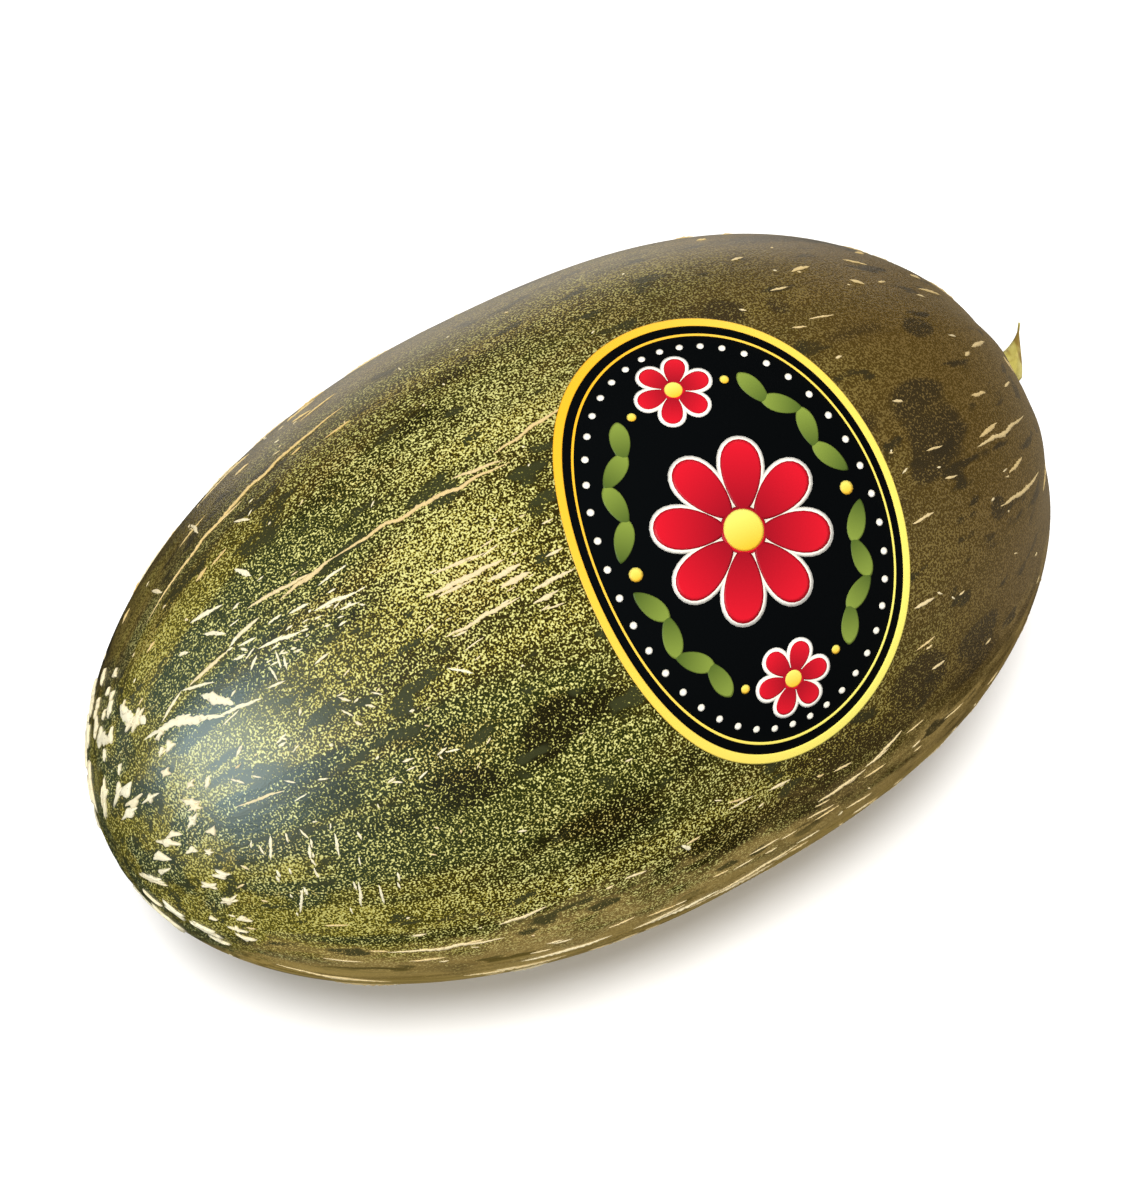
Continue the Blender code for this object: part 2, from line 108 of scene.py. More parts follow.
@dataclass(frozen=True)
class Skin:
    """The form of the melon's skin, the same as the solid's, with finer lumps on it."""

    middle: Vector
    length: float = 0.270
    girth_radius: float = 0.0831
    blossom_power: float = 1.99
    stem_power: float = 2.66
    girth_waves: tuple = ((2, 0.0030, 25.0), (3, 0.0026, 100.0), (5, 0.0012, 40.0))
    shoulder_waves: tuple = ((1, 0.0065, -25.0), (4, 0.0030, 10.0))
    shoulder_range: Span = (0.35, 0.85)
    furrow_waves: tuple = ((9, 0.55, 12.0), (13, 0.30, 70.0), (6, 0.15, 150.0))
    furrow_depths: Span = (0.00025, 0.0012)
    furrow_end_power: int = 6
    furrow_full_radius: float = 0.022
    furrow_sunk_share: float = 0.2
    seat_middle: Triple = (0.1324, 0.0035, 0.0015)
    seat_radii: Span = (0.0085, 0.0185)
    scar_depth: float = 0.0009
    scar_radii: Span = (0.0045, 0.0085)
    nudge: float = 0.004

    def point(self, way: np.ndarray, angle: np.ndarray) -> np.ndarray:
        """Return points of the skin, measured from the melon's middle.

        Args:
            way: from 0 at the blossom end to pi at the stem end.
            angle: radians from the top, positive towards -Y.

        Returns:
            An array with a row of x, y and z for each point.
        """
        share = -np.cos(way)
        power = np.where(share < 0, self.blossom_power, self.stem_power)
        radius = self.girth_radius * np.sqrt(np.clip(1 - np.abs(share) ** power, 0.0, None))
        shallow, deep = self.furrow_depths
        depth = shallow + (deep - shallow) * share**self.furrow_end_power
        depth = depth * np.minimum(radius / self.furrow_full_radius, 1)
        start, full = self.shoulder_range
        shoulder = smooth_step((share - start) / (full - start))
        girth = waves(angle, self.girth_waves) + shoulder * waves(angle, self.shoulder_waves)
        radius = radius * (1 + girth)
        radius = radius + depth * (waves(angle, self.furrow_waves) - self.furrow_sunk_share)
        x, y, z = share * self.length / 2, -radius * np.sin(angle), radius * np.cos(angle)
        off_seat = np.hypot(y - self.seat_middle[1], z - self.seat_middle[2])
        seat = self.within(off_seat, self.seat_radii)
        scar = self.within(radius, self.scar_radii)
        at_seat = x + seat * (self.seat_middle[0] - x)
        at_scar = x + scar * (-self.length / 2 + self.scar_depth - x)
        return np.stack([np.where(share > 0, at_seat, at_scar), y, z], -1)

    @staticmethod
    def within(distance: np.ndarray, radii: Span) -> np.ndarray:
        """Return 1 inside the first radius, 0 outside the second and a smooth fall between."""
        return 1 - smooth_step((distance - radii[0]) / (radii[1] - radii[0]))

    def place(self, x: np.ndarray, degrees: np.ndarray, lift: np.ndarray) -> np.ndarray:
        """Return points lifted straight off the skin, in the row's own frame.

        Args:
            x: distances from the melon's middle along its length.
            degrees: angles from the top, positive towards -Y.
            lift: heights above the skin, negative below it.

        Returns:
            An array with a row of x, y and z for each point.
        """
        nudge = self.nudge
        way = np.arccos(np.clip(-2 * np.asarray(x, float) / self.length, -1, 1))
        way = np.clip(way, 2 * nudge, math.pi - 2 * nudge)
        angle = np.radians(degrees)
        along = self.point(way + nudge, angle) - self.point(way - nudge, angle)
        around = self.point(way, angle + nudge) - self.point(way, angle - nudge)
        normal = -np.cross(along, around)
        normal /= np.linalg.norm(normal, axis=-1, keepdims=True)
        return self.point(way, angle) + normal * np.asarray(lift)[..., None] + np.array(self.middle)

    def side_radius_at(self, x: np.ndarray) -> np.ndarray:
        """Return the plain radius of the melon at each x.

        Args:
            x: distances from the melon's middle along its length.

        Returns:
            An array of radii.
        """
        share = np.clip(2 * np.asarray(x) / self.length, -NEAR_END, NEAR_END)
        power = np.where(share < 0, self.blossom_power, self.stem_power)
        return self.girth_radius * np.sqrt(1 - np.abs(share) ** power)

    def side_radius(self, x: float) -> float:
        """Return the plain radius of the melon at one x."""
        return float(self.side_radius_at(x))


class Coat(NamedTuple):
    """A colour laid over others, and how strongly it covers them where its zone is full."""

    colour: "Colour | Socket"
    strength: float = 1.0


class Pattern(NamedTuple):
    """A noise: its grain, and how its place is stretched and shifted first."""

    scale: float
    detail: float = 2.0
    roughness: float = 0.5
    distortion: float = 0.0
    stretch: Triple = (1.0, 1.0, 1.0)
    shift: Triple = (0.0, 0.0, 0.0)


class Bump(NamedTuple):
    """The strength and depth of a finish's fine bumps."""

    strength: float
    depth: float


class Nodes:
    """A short way to write a material's node tree."""

    def __init__(self, name: str) -> None:
        """Start a material whose tree holds a Principled shader and the output.

        Args:
            name: the material's name.
        """
        self.material = bpy.data.materials.new(name)
        self.material.use_nodes = True
        self.tree = self.material.node_tree
        self.shader = self.tree.nodes["Principled BSDF"]

    def add(self, kind: str, inputs: dict | None = None, **settings: object) -> bpy.types.Node:
        """Add a node, set its properties, and fill or link its inputs.

        Args:
            kind: the node's type.
            inputs: the value or output for each input, by its name or number.
            settings: the node's own properties.

        Returns:
            The new node.
        """
        node = self.tree.nodes.new(kind)
        for key, value in settings.items():
            setattr(node, key, value)
        for key, value in (inputs or {}).items():
            self.feed(node.inputs[key], value)
        return node

    def feed(self, socket: Socket, value: object) -> None:
        """Link a socket to another node's output, or set its value.

        Args:
            socket: the input to fill.
            value: an output, a number, a vector or a colour.
        """
        if isinstance(value, Socket):
            self.tree.links.new(value, socket)
        elif isinstance(value, tuple) and len(value) == 3 and socket.type == "RGBA":
            socket.default_value = (*value, 1.0)
        else:
            socket.default_value = value

    def math(self, operation: str, *values: object) -> Socket:
        """Return the result of a Math node."""
        return self.add("ShaderNodeMath", dict(enumerate(values)), operation=operation).outputs[0]

    def total(self, start: object, *parts: tuple[object, float]) -> Socket:
        """Return a start value plus each part times its factor.

        Args:
            start: the value to begin with.
            parts: pairs of a value and its factor.

        Returns:
            The sum.
        """
        for value, factor in parts:
            start = self.math("MULTIPLY_ADD", value, factor, start)
        return start

    def vector(self, operation: str, *values: object) -> Socket:
        """Return the vector of a Vector Math node."""
        return self.add("ShaderNodeVectorMath", dict(enumerate(values)), operation=operation).outputs[0]

    def vector_value(self, operation: str, *values: object) -> Socket:
        """Return the single value of a Vector Math node, such as a length."""
        node = self.add("ShaderNodeVectorMath", dict(enumerate(values)), operation=operation)
        return node.outputs["Value"]

    def noise(self, place: object, pattern: Pattern) -> Socket:
        """Return the value of a noise at a place.

        Args:
            place: the place to read it at.
            pattern: the noise.

        Returns:
            A value from 0 to 1.
        """
        inputs = {
            "Vector": self.vector("MULTIPLY_ADD", place, pattern.stretch, pattern.shift),
            "Scale": pattern.scale,
            "Detail": pattern.detail,
            "Roughness": pattern.roughness,
            "Distortion": pattern.distortion,
        }
        return self.add("ShaderNodeTexNoise", inputs).outputs["Fac"]

    def step(self, value: object, low: object, high: object) -> Socket:
        """Return 0 below low, 1 above high and a smooth rise between.

        Args:
            value: what is compared.
            low: where the rise begins.
            high: where it is full.

        Returns:
            A value from 0 to 1.
        """
        inputs = {"Value": value, "From Min": low, "From Max": high}
        node = self.add("ShaderNodeMapRange", inputs, interpolation_type="SMOOTHSTEP")
        return node.outputs["Result"]

    def mix(self, share: object, first: object, second: object) -> Socket:
        """Return a colour between two others.

        Args:
            share: how much of the second.
            first: the colour at 0.
            second: the colour at 1.

        Returns:
            The mixed colour.
        """
        node = self.add("ShaderNodeMix", data_type="RGBA")
        for key, value in (("Factor_Float", share), ("A_Color", first), ("B_Color", second)):
            self.feed(next(s for s in node.inputs if s.identifier == key), value)
        return next(s for s in node.outputs if s.identifier == "Result_Color")

    def coats(self, base: object, *coats: tuple[object, Coat]) -> Socket:
        """Return a base colour under coats, each with the share from 0 to 1 that it covers.

        Args:
            base: the colour underneath.
            coats: pairs of a share and a coat, laid in turn.

        Returns:
            The colour seen.
        """
        for share, coat in coats:
            base = self.mix(self.math("MULTIPLY", share, coat.strength), base, coat.colour)
        return base

    def centred(self, middle: Vector) -> Socket:
        """Return Object coordinates measured from a middle.

        Args:
            middle: the place that becomes the origin.

        Returns:
            The place.
        """
        place = self.add("ShaderNodeTexCoord").outputs["Object"]
        inputs = {"Vector": place, "Location": tuple(-c for c in middle)}
        return self.add("ShaderNodeMapping", inputs).outputs["Vector"]

    def along(self, place: object) -> Socket:
        """Return how far a place is along the melon."""
        return self.add("ShaderNodeSeparateXYZ", {0: place}).outputs["X"]

    def tint(self) -> Socket:
        """Return the piece's own tint attribute."""
        return self.add("ShaderNodeAttribute", attribute_name=TINT).outputs["Fac"]

    def surface(self, colour: object, roughness: float, specular: float = 0.5) -> None:
        """Give the shader its colour, roughness and specular level.

        Args:
            colour: a colour, or an output with one.
            roughness: from 0 for a mirror to 1.
            specular: the strength of the sheen.
        """
        self.feed(self.shader.inputs["Base Color"], colour)
        self.shader.inputs["Roughness"].default_value = roughness
        self.shader.inputs["Specular IOR Level"].default_value = specular

    def bump(self, height: object, bump: Bump) -> None:
        """Give the shader a bump from a height."""
        inputs = {"Height": height, "Strength": bump.strength, "Distance": bump.depth}
        self.feed(self.shader.inputs["Normal"], self.add("ShaderNodeBump", inputs).outputs["Normal"])


class Mark(NamedTuple):
    """A soft-edged stretch of rind: its middle, half sizes and push towards the dark.

    All but the angle and the push are in mm. A push below 0 makes the stretch paler.
    """

    x: float
    angle: float
    half_long: float
    half_wide: float
    push: float


MARKS = (
    Mark(-51, 41, 26, 12, 0.19),
    Mark(-44, 67, 28, 9, 0.19),
    Mark(-30, 48, 16, 16, 0.15),
    Mark(-42, 6, 20, 14, -0.16),
    Mark(-104, -46, 16, 12, -0.2),
    Mark(-118, 62, 14, 22, -0.08),
    Mark(-102, 55, 26, 5.5, -0.16),
    Mark(-98, 73, 26, 6, -0.16),
    Mark(-106, -25, 20, 7, -0.16),
    Mark(-120, 20, 10, 5, -0.16),
    Mark(-104, 63.5, 20, 3.5, 0.14),
    Mark(-112, 41, 16, 6, 0.12),
    Mark(-104, -14, 16, 6, 0.12),
    Mark(88, 24, 11, 12, 0.22),
    Mark(80, 32, 7, 5, 0.18),
    Mark(96, 50, 4, 4, 0.2),
    Mark(80, 72, 10, 6, 0.2),
    Mark(58, 70, 9, 8, 0.22),
    Mark(100, 4, 6, 5, 0.18),
    Mark(54, -12, 5, 5, 0.18),
    Mark(68, -10, 4, 4, 0.16),
    Mark(-16, -12, 36, 15, -0.12),
    Mark(-84, -31, 20, 8, 0.08),
)


class Side(NamedTuple):
    """A side of the melon with a colour of its own: its angle, ragged edge and strength."""

    angle: float
    edge: Span
    strength: float = 1.0


class RindPlace(NamedTuple):
    """A place on the rind, as its patterns need it.

    The bands hold the distance along the melon and the way round it at the widest girth, so that a
    pattern runs from end to end in bands of one width.
    """

    place: Socket
    along: Socket
    around: Socket
    bands: Socket


class RindZones(NamedTuple):
    """How far each zone of the rind holds at a place, from 0 to 1, and the marks' push."""

    marks: Socket
    blossom: Socket
    dark: Socket
    patch: Socket
    yellow: Socket
    green: Socket
    # brown: the browner stem end, partly painted warm shade, and the far shoulder's painted shade
    brown: Socket
    spot: Socket
    tan: Socket


class Specks(NamedTuple):
    """The specks at a place: their noise, how far a speck covers the ground, and its bright core."""

    noise: Socket
    # core: the bright centre of a speck, a painted highlight
    cover: Socket
    core: Socket


@dataclass(frozen=True)
class SpeckRule:
    """Where specks show: where their noise passes a level, which each zone lifts or lowers."""

    noise: Pattern = Pattern(1900.0, 1.0, 0.4, 0.2)
    clusters: Pattern = Pattern(420.0, 1.0)
    level: float = 0.612
    half_edge: float = 0.058
    lift_on_dark: float = 0.065
    lift_on_patch: float = 0.14
    lift_on_yellow: float = -0.03
    lift_on_cluster: float = -0.13
    lift_on_pale_mark: float = 0.25
    lift_on_blossom: float = 0.02
    # The bright core of a speck is a painted highlight, faded on the brown stem end
    highlight_edge: Span = (0.01, 0.15)
    # Fewer specks on the brown stem end, partly painted shade of its dim end
    fade_on_brown: float = -0.3
    fade_on_spot: float = -0.6
    highlight_fade_on_brown: float = -0.85

    def build(self, n: Nodes, place: Socket, zones: RindZones) -> Specks:
        """Return the specks at a place.

        Args:
            n: the material's nodes.
            place: the place, from the melon's middle.
            zones: how far each zone holds there.

        Returns:
            The specks.
        """
        noise = n.noise(place, self.noise)
        level = n.total(
            self.level,
            (zones.dark, self.lift_on_dark),
            (zones.patch, self.lift_on_patch),
            (zones.yellow, self.lift_on_yellow),
            (n.noise(place, self.clusters), self.lift_on_cluster),
            (n.math("MINIMUM", zones.marks, 0.0), self.lift_on_pale_mark),
            (zones.blossom, self.lift_on_blossom),
        )
        low, high = (n.math("ADD", level, gap) for gap in (-self.half_edge, self.half_edge))
        core_low, core_high = (n.math("ADD", level, gap) for gap in self.highlight_edge)
        brown_fade = n.total(1.0, (zones.brown, self.fade_on_brown))
        fade = n.math("MULTIPLY", brown_fade, n.total(1.0, (zones.spot, self.fade_on_spot)))
        core_fade = n.total(1.0, (zones.brown, self.highlight_fade_on_brown))
        cover = n.math("MULTIPLY", n.step(noise, low, high), fade)
        core = n.math("MULTIPLY", n.step(noise, core_low, core_high), core_fade)
        return Specks(noise, cover, core)


@dataclass(frozen=True)
class RindFinish:
    """Waxy speckled rind: fine yellow-green specks on a dark ground, with stretches and patches.

    The stem end is browner, partly its own colour and partly painted warm shade; one shoulder is
    browner with painted shade along the top rim; one low side is tan, and a pale ground spot lies
    underneath.
    """

    dark_ground: Colour = linear(47, 39, 2)
    green_ground: Coat = Coat(linear(40, 44, 6))
    deep_ground: Coat = Coat(linear(28, 24, 2))
    olive_stripe: Coat = Coat(linear(84, 80, 16), 0.7)
    blue_stripe: Coat = Coat(linear(50, 60, 36), 0.7)
    # The brown coats are partly the stem end's own colour and partly painted warm shade
    brown_and_shade_ground: Coat = Coat(linear(78, 60, 22), 0.85)
    tan_ground: Coat = Coat(linear(174, 146, 82))
    patch_ground: Coat = Coat(linear(56, 58, 30), 0.9)
    brown_patch: Coat = Coat(linear(48, 40, 24), 0.85)
    spot_ground: Coat = Coat(linear(206, 176, 96), 0.9)
    spot_line: Colour = linear(140, 116, 44)

    green_speck: Colour = linear(142, 138, 60)
    yellow_speck: Coat = Coat(linear(160, 146, 44))
    orange_speck: Coat = Coat(linear(166, 130, 54), 0.4)
    # Painted highlight in the specks' cores: paler near the blossom end, yellow in its stripes
    painted_highlight: Colour = linear(216, 213, 138)
    pale_painted_highlight: Coat = Coat(linear(196, 198, 142))
    yellow_painted_highlight: Coat = Coat(linear(184, 172, 70), 0.55)
    # Browner, duller specks: partly the stem end's own colour, partly painted shade of its dim end
    brown_and_shade_speck: Coat = Coat(linear(112, 91, 50))
    tan_speck: Coat = Coat(linear(196, 168, 104))
    spot_speck: Coat = Coat(linear(206, 176, 96))
    specks: SpeckRule = SpeckRule()

    broad: Pattern = Pattern(44.0, 2.5, stretch=(0.36, 1, 1))
    small: Pattern = Pattern(125.0, roughness=0.6, stretch=(0.5, 1, 1), shift=(0.31, 0.12, 0.2))
    stripes: Pattern = Pattern(60.0, stretch=(0.1, 1, 1), shift=(0.7, 0.3, 0.5))
    blush: Pattern = Pattern(75.0, stretch=(0.36, 1, 1), shift=(0.9, 0.1, 0.4))
    lines: Pattern = Pattern(260.0, stretch=(0.09, 1, 1))

    dark_edge: Span = (0.56, 0.66)
    patch_edge: Span = (0.59, 0.68)
    yellow_edge: Span = (0.46, 0.62)
    green_edge: Span = (0.50, 0.36)
    orange_edge: Span = (0.54, 0.66)
    line_edge: Span = (0.45, 0.65)
    blossom_edge: Span = (-0.35, -0.85)
    pale_highlight_edge: Span = (-0.5, -1.0)
    # Where the stem end's browning and painted warm shade begin and are full
    brown_and_shade_edge: Span = (0.0, 0.9)
    mark_edge: Span = (1.4, 0.5)

    patch_at_blossom: float = 0.04
    yellow_at_blossom: float = 0.05
    green_at_blossom: float = -0.06
    stripe_on_mark: float = -0.6
    brown_on_broad: float = 0.3

    ground_spot: Side = Side(156.0, (0.44, 0.78))
    # The far shoulder's browner band is painted shade along the top rim
    shoulder: Side = Side(-80.0, (0.44, 0.96), 0.75)
    tan_side: Side = Side(122.0, (0.72, 0.93), 0.75)
    raggedness: float = 0.5
    pole_radius: float = 0.045

    roughness: float = 0.38
    specular: float = 0.35
    bump: Bump = Bump(0.35, 0.0004)
    grain_height: float = 0.4
    grain_on_brown: float = 1.2
    line_height: float = 0.6

    def build(self, skin: Skin) -> bpy.types.Material:
        """Return the rind's material.

        Args:
            skin: the melon's skin.

        Returns:
            The finished material.
        """
        n = Nodes("Rind")
        at = self.rind_place(n, skin)
        zones = self.zones(n, at, skin)
        specks = self.specks.build(n, at.place, zones)
        lines = n.noise(at.bands, self.lines)
        tint = self.speck_colour(n, at, zones, specks.core)
        colour = n.mix(specks.cover, self.ground_colour(n, zones, lines), tint)
        n.surface(colour, self.roughness, self.specular)
        grain = n.total(self.grain_height, (zones.brown, self.grain_on_brown))
        grain = n.math("MULTIPLY", specks.noise, grain)
        n.bump(n.total(grain, (lines, self.line_height)), self.bump)
        return n.material

    def rind_place(self, n: Nodes, skin: Skin) -> RindPlace:
        """Return a place on the rind, its way round it shrinking to nothing at the two ends.

        Args:
            n: the material's nodes.
            skin: the melon's skin.

        Returns:
            The place in each form that the patterns read.
        """
        place = n.centred(skin.middle)
        off_axis = n.vector("MULTIPLY", place, (0, 1, 1))
        away = n.math("MAXIMUM", n.vector_value("LENGTH", off_axis), self.pole_radius)
        shrink = {0: off_axis, "Scale": n.math("DIVIDE", 1.0, away)}
        around = n.add("ShaderNodeVectorMath", shrink, operation="SCALE").outputs[0]
        girth = n.vector("MULTIPLY", around, (0, skin.girth_radius, skin.girth_radius))
        bands = n.vector("MULTIPLY_ADD", place, (1, 0, 0), girth)
        return RindPlace(place, n.math("DIVIDE", n.along(place), skin.length / 2), around, bands)

    def zones(self, n: Nodes, at: RindPlace, skin: Skin) -> RindZones:
        """Return how far each zone holds at a place.

        Args:
            n: the material's nodes.
            at: the place.
            skin: the melon's skin.

        Returns:
            The zones.
        """
        broad, small = n.noise(at.bands, self.broad), n.noise(at.bands, self.small)
        marks = self.marked(n, at.place, skin)
        blossom = n.step(at.along, *self.blossom_edge)
        stripe = n.total(n.noise(at.bands, self.stripes), (marks, self.stripe_on_mark))
        # Browner towards the stem end: partly its own colour, partly painted warm shade of the dim end
        brown = n.step(n.total(at.along, (broad, self.brown_on_broad)), *self.brown_and_shade_edge)
        ragged = n.math("MULTIPLY", n.math("SUBTRACT", small, NOISE_MEAN), self.raggedness)
        # The shoulder side is painted shade along the top rim, joined to the brown zone below
        shoulder, spot, tan = (
            self.on_side(n, at.around, ragged, side)
            for side in (self.shoulder, self.ground_spot, self.tan_side)
        )
        return RindZones(
            marks=marks,
            blossom=blossom,
            dark=n.step(n.math("ADD", broad, marks), *self.dark_edge),
            patch=n.step(n.total(small, (blossom, self.patch_at_blossom)), *self.patch_edge),
            yellow=n.step(n.total(stripe, (blossom, self.yellow_at_blossom)), *self.yellow_edge),
            green=n.step(n.total(stripe, (blossom, self.green_at_blossom)), *self.green_edge),
            brown=n.math("MAXIMUM", brown, shoulder),
            spot=spot,
            tan=tan,
        )

    def marked(self, n: Nodes, place: Socket, skin: Skin) -> Socket:
        """Return the sum of the marks' push at a place.

        Args:
            n: the material's nodes.
            place: the place, from the melon's middle.
            skin: the melon's skin.

        Returns:
            The push towards the dark.
        """
        parts = []
        for mark in MARKS:
            way = math.acos(-2 * mark.x * MM / skin.length)
            middle = skin.point(np.array(way), np.array(math.radians(mark.angle)))
            off = n.vector("SUBTRACT", place, tuple(float(c) for c in middle))
            off = n.vector("MULTIPLY", off, (mark.half_wide / mark.half_long, 1, 1))
            edge = (share * mark.half_wide * MM for share in self.mark_edge)
            parts.append((n.step(n.vector_value("LENGTH", off), *edge), mark.push))
        return n.total(0.0, *parts)

    @staticmethod
    def on_side(n: Nodes, around: Socket, ragged: Socket, side: Side) -> Socket:
        """Return how far a side's own colour holds at a place.

        Args:
            n: the material's nodes.
            around: the way round the melon at the place.
            ragged: a noise that breaks up the edge.
            side: the side.

        Returns:
            A value from 0 to the side's strength.
        """
        turn = math.radians(side.angle)
        facing = n.vector_value("DOT_PRODUCT", around, (0.0, -math.sin(turn), math.cos(turn)))
        return n.math("MULTIPLY", n.step(n.math("ADD", facing, ragged), *side.edge), side.strength)

    def ground_colour(self, n: Nodes, zones: RindZones, lines: Socket) -> Socket:
        """Return the colour between the specks.

        Args:
            n: the material's nodes.
            zones: how far each zone holds at a place.
            lines: the noise of the fine lines that run along the melon.

        Returns:
            The colour.
        """
        patch_tone = n.mix(zones.brown, self.patch_ground.colour, self.brown_patch.colour)
        spot_tone = n.mix(n.step(lines, *self.line_edge), self.spot_ground.colour, self.spot_line)
        return n.coats(
            self.dark_ground,
            (zones.green, self.green_ground),
            (zones.dark, self.deep_ground),
            (n.math("MULTIPLY", zones.yellow, zones.blossom), self.olive_stripe),
            (n.math("MULTIPLY", zones.green, zones.blossom), self.blue_stripe),
            # Painted warm shade mixed with the stem end's own browning
            (zones.brown, self.brown_and_shade_ground),
            (zones.tan, self.tan_ground),
            (zones.patch, self.patch_ground._replace(colour=patch_tone)),
            (n.math("MULTIPLY", zones.dark, zones.brown), self.brown_patch),
            (zones.spot, self.spot_ground._replace(colour=spot_tone)),
        )

    def speck_colour(self, n: Nodes, at: RindPlace, zones: RindZones, core: Socket) -> Socket:
        """Return the colour of the specks, brighter in their cores.

        Args:
            n: the material's nodes.
            at: the place.
            zones: how far each zone holds at the place.
            core: how far the bright core of a speck, a painted highlight, holds there.

        Returns:
            The colour.
        """
        orange = n.step(n.noise(at.bands, self.blush), *self.orange_edge)
        # The cores' painted highlight, paler near the blossom end and yellow in its stripes
        bright = n.coats(
            self.painted_highlight,
            (n.step(at.along, *self.pale_highlight_edge), self.pale_painted_highlight),
            (n.math("MULTIPLY", zones.yellow, zones.blossom), self.yellow_painted_highlight),
        )
        return n.coats(
            self.green_speck,
            (zones.yellow, self.yellow_speck),
            (orange, self.orange_speck),
            (core, Coat(bright)),
            (zones.brown, self.brown_and_shade_speck),
            (zones.tan, self.tan_speck),
            (zones.spot, self.spot_speck),
        )


@dataclass(frozen=True)
class CorkFinish:
    """Dry pale cork, from cream to tan by the piece's own tint, and duller towards the stem."""

    cream: Colour = linear(236, 228, 196)
    tan: Coat = Coat(linear(213, 180, 108))
    dull: Coat = Coat(linear(180, 158, 112), 0.7)
    shade: Coat = Coat(linear(150, 128, 84), 0.6)
    dull_edge: Span = (0.045, 0.115)
    shade_edge: Span = (0.56, 0.74)
    grain: Pattern = Pattern(900.0, 3.0, 0.65)
    bump: Bump = Bump(0.6, 0.0003)
    roughness: float = 0.8

    def build(self, skin: Skin) -> bpy.types.Material:
        """Return the cork's material.

        Args:
            skin: the melon's skin.

        Returns:
            The finished material.
        """
        n = Nodes("Cork")
        place = n.centred(skin.middle)
        grain = n.noise(place, self.grain)
        colour = n.coats(
            self.cream,
            (n.tint(), self.tan),
            (n.step(n.along(place), *self.dull_edge), self.dull),
            (n.step(grain, *self.shade_edge), self.shade),
        )
        n.surface(colour, self.roughness)
        n.bump(grain, self.bump)
        return n.material


@dataclass(frozen=True)
class StemFinish:
    """Dry yellow-green stalk with pale patches, a brown streak and fine brown fibres."""

    green: Colour = linear(180, 168, 84)
    pale: Coat = Coat(linear(202, 190, 118))
    brown_streak: Coat = Coat(linear(128, 98, 40), 0.8)
    brown_fibre: Coat = Coat(linear(128, 98, 40), 0.2)
    patches: Pattern = Pattern(180.0)
    streaks: Pattern = Pattern(230.0, stretch=(1.0, 0.35, 0.35))
    fibres: Pattern = Pattern(900.0, 3.0, stretch=(0.4, 1, 1))
    patch_edge: Span = (0.4, 0.65)
    streak_edge: Span = (0.56, 0.63)
    fibre_edge: Span = (0.55, 0.75)
    bump: Bump = Bump(0.6, 0.0004)
    roughness: float = 0.6

    def build(self, skin: Skin) -> bpy.types.Material:
        """Return the stem's material.

        Args:
            skin: the melon's skin.

        Returns:
            The finished material.
        """
        n = Nodes("Stem")
        place = n.centred(skin.middle)
        fibres = n.noise(place, self.fibres)
        colour = n.coats(
            self.green,
            (n.step(n.noise(place, self.patches), *self.patch_edge), self.pale),
            (n.step(n.noise(place, self.streaks), *self.streak_edge), self.brown_streak),
            (n.step(fibres, *self.fibre_edge), self.brown_fibre),
        )
        n.surface(colour, self.roughness)
        n.bump(fibres, self.bump)
        return n.material


def finished(
    name: str, mesh: bmesh.types.BMesh, material: bpy.types.Material, node: str | None
) -> bpy.types.Object:
    """Make a smooth shaded piece that rides on the melon's body.

    Args:
        name: the piece's name.
        mesh: its shape in the row's frame, freed here.
        material: its finish.
        node: the solid that the piece stands for, or None.

    Returns:
        The new object.
    """
    data = bpy.data.meshes.new(name)
    mesh.to_mesh(data)
    mesh.free()
    data.shade_smooth()
    data.materials.append(material)
    piece = bpy.data.objects.new(name, data)
    bpy.context.scene.collection.objects.link(piece)
    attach(piece, BODY)
    if node:
        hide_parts(node)
    LOG.info("%s: %d faces", name, len(data.polygons))
    return piece


def move_verts(verts: list[bmesh.types.BMVert], places: np.ndarray) -> None:
    """Put vertices at the rows of an array."""
    for vert, place in zip(verts, places):
        vert.co = place


@dataclass
class Rind:
    """The melon's body, from a fine sphere drawn into the skin's form and pressed flat underneath."""

    skin: Skin
    finish: RindFinish = field(default_factory=RindFinish)
    segments: int = 336
    rings: int = 280
    crowding: float = 0.4

    def build(self) -> bpy.types.Object:
        """Return the rind.

        Returns:
            The piece that stands for the melon's solid.
        """
        mesh = bmesh.new()
        bmesh.ops.create_uvsphere(mesh, u_segments=self.segments, v_segments=self.rings, radius=1.0)
        ball = np.array([vert.co for vert in mesh.verts])
        way = np.arccos(np.clip(-ball[:, 2], -1, 1))
        way = way - self.crowding * np.sin(2 * way) / 2
        places = self.skin.point(way, np.arctan2(ball[:, 1], ball[:, 0])) + np.array(self.skin.middle)
        places[:, 2] = np.maximum(places[:, 2], 0.0)
        move_verts(mesh.verts, places)
        return finished("rind", mesh, self.finish.build(self.skin), "melon")


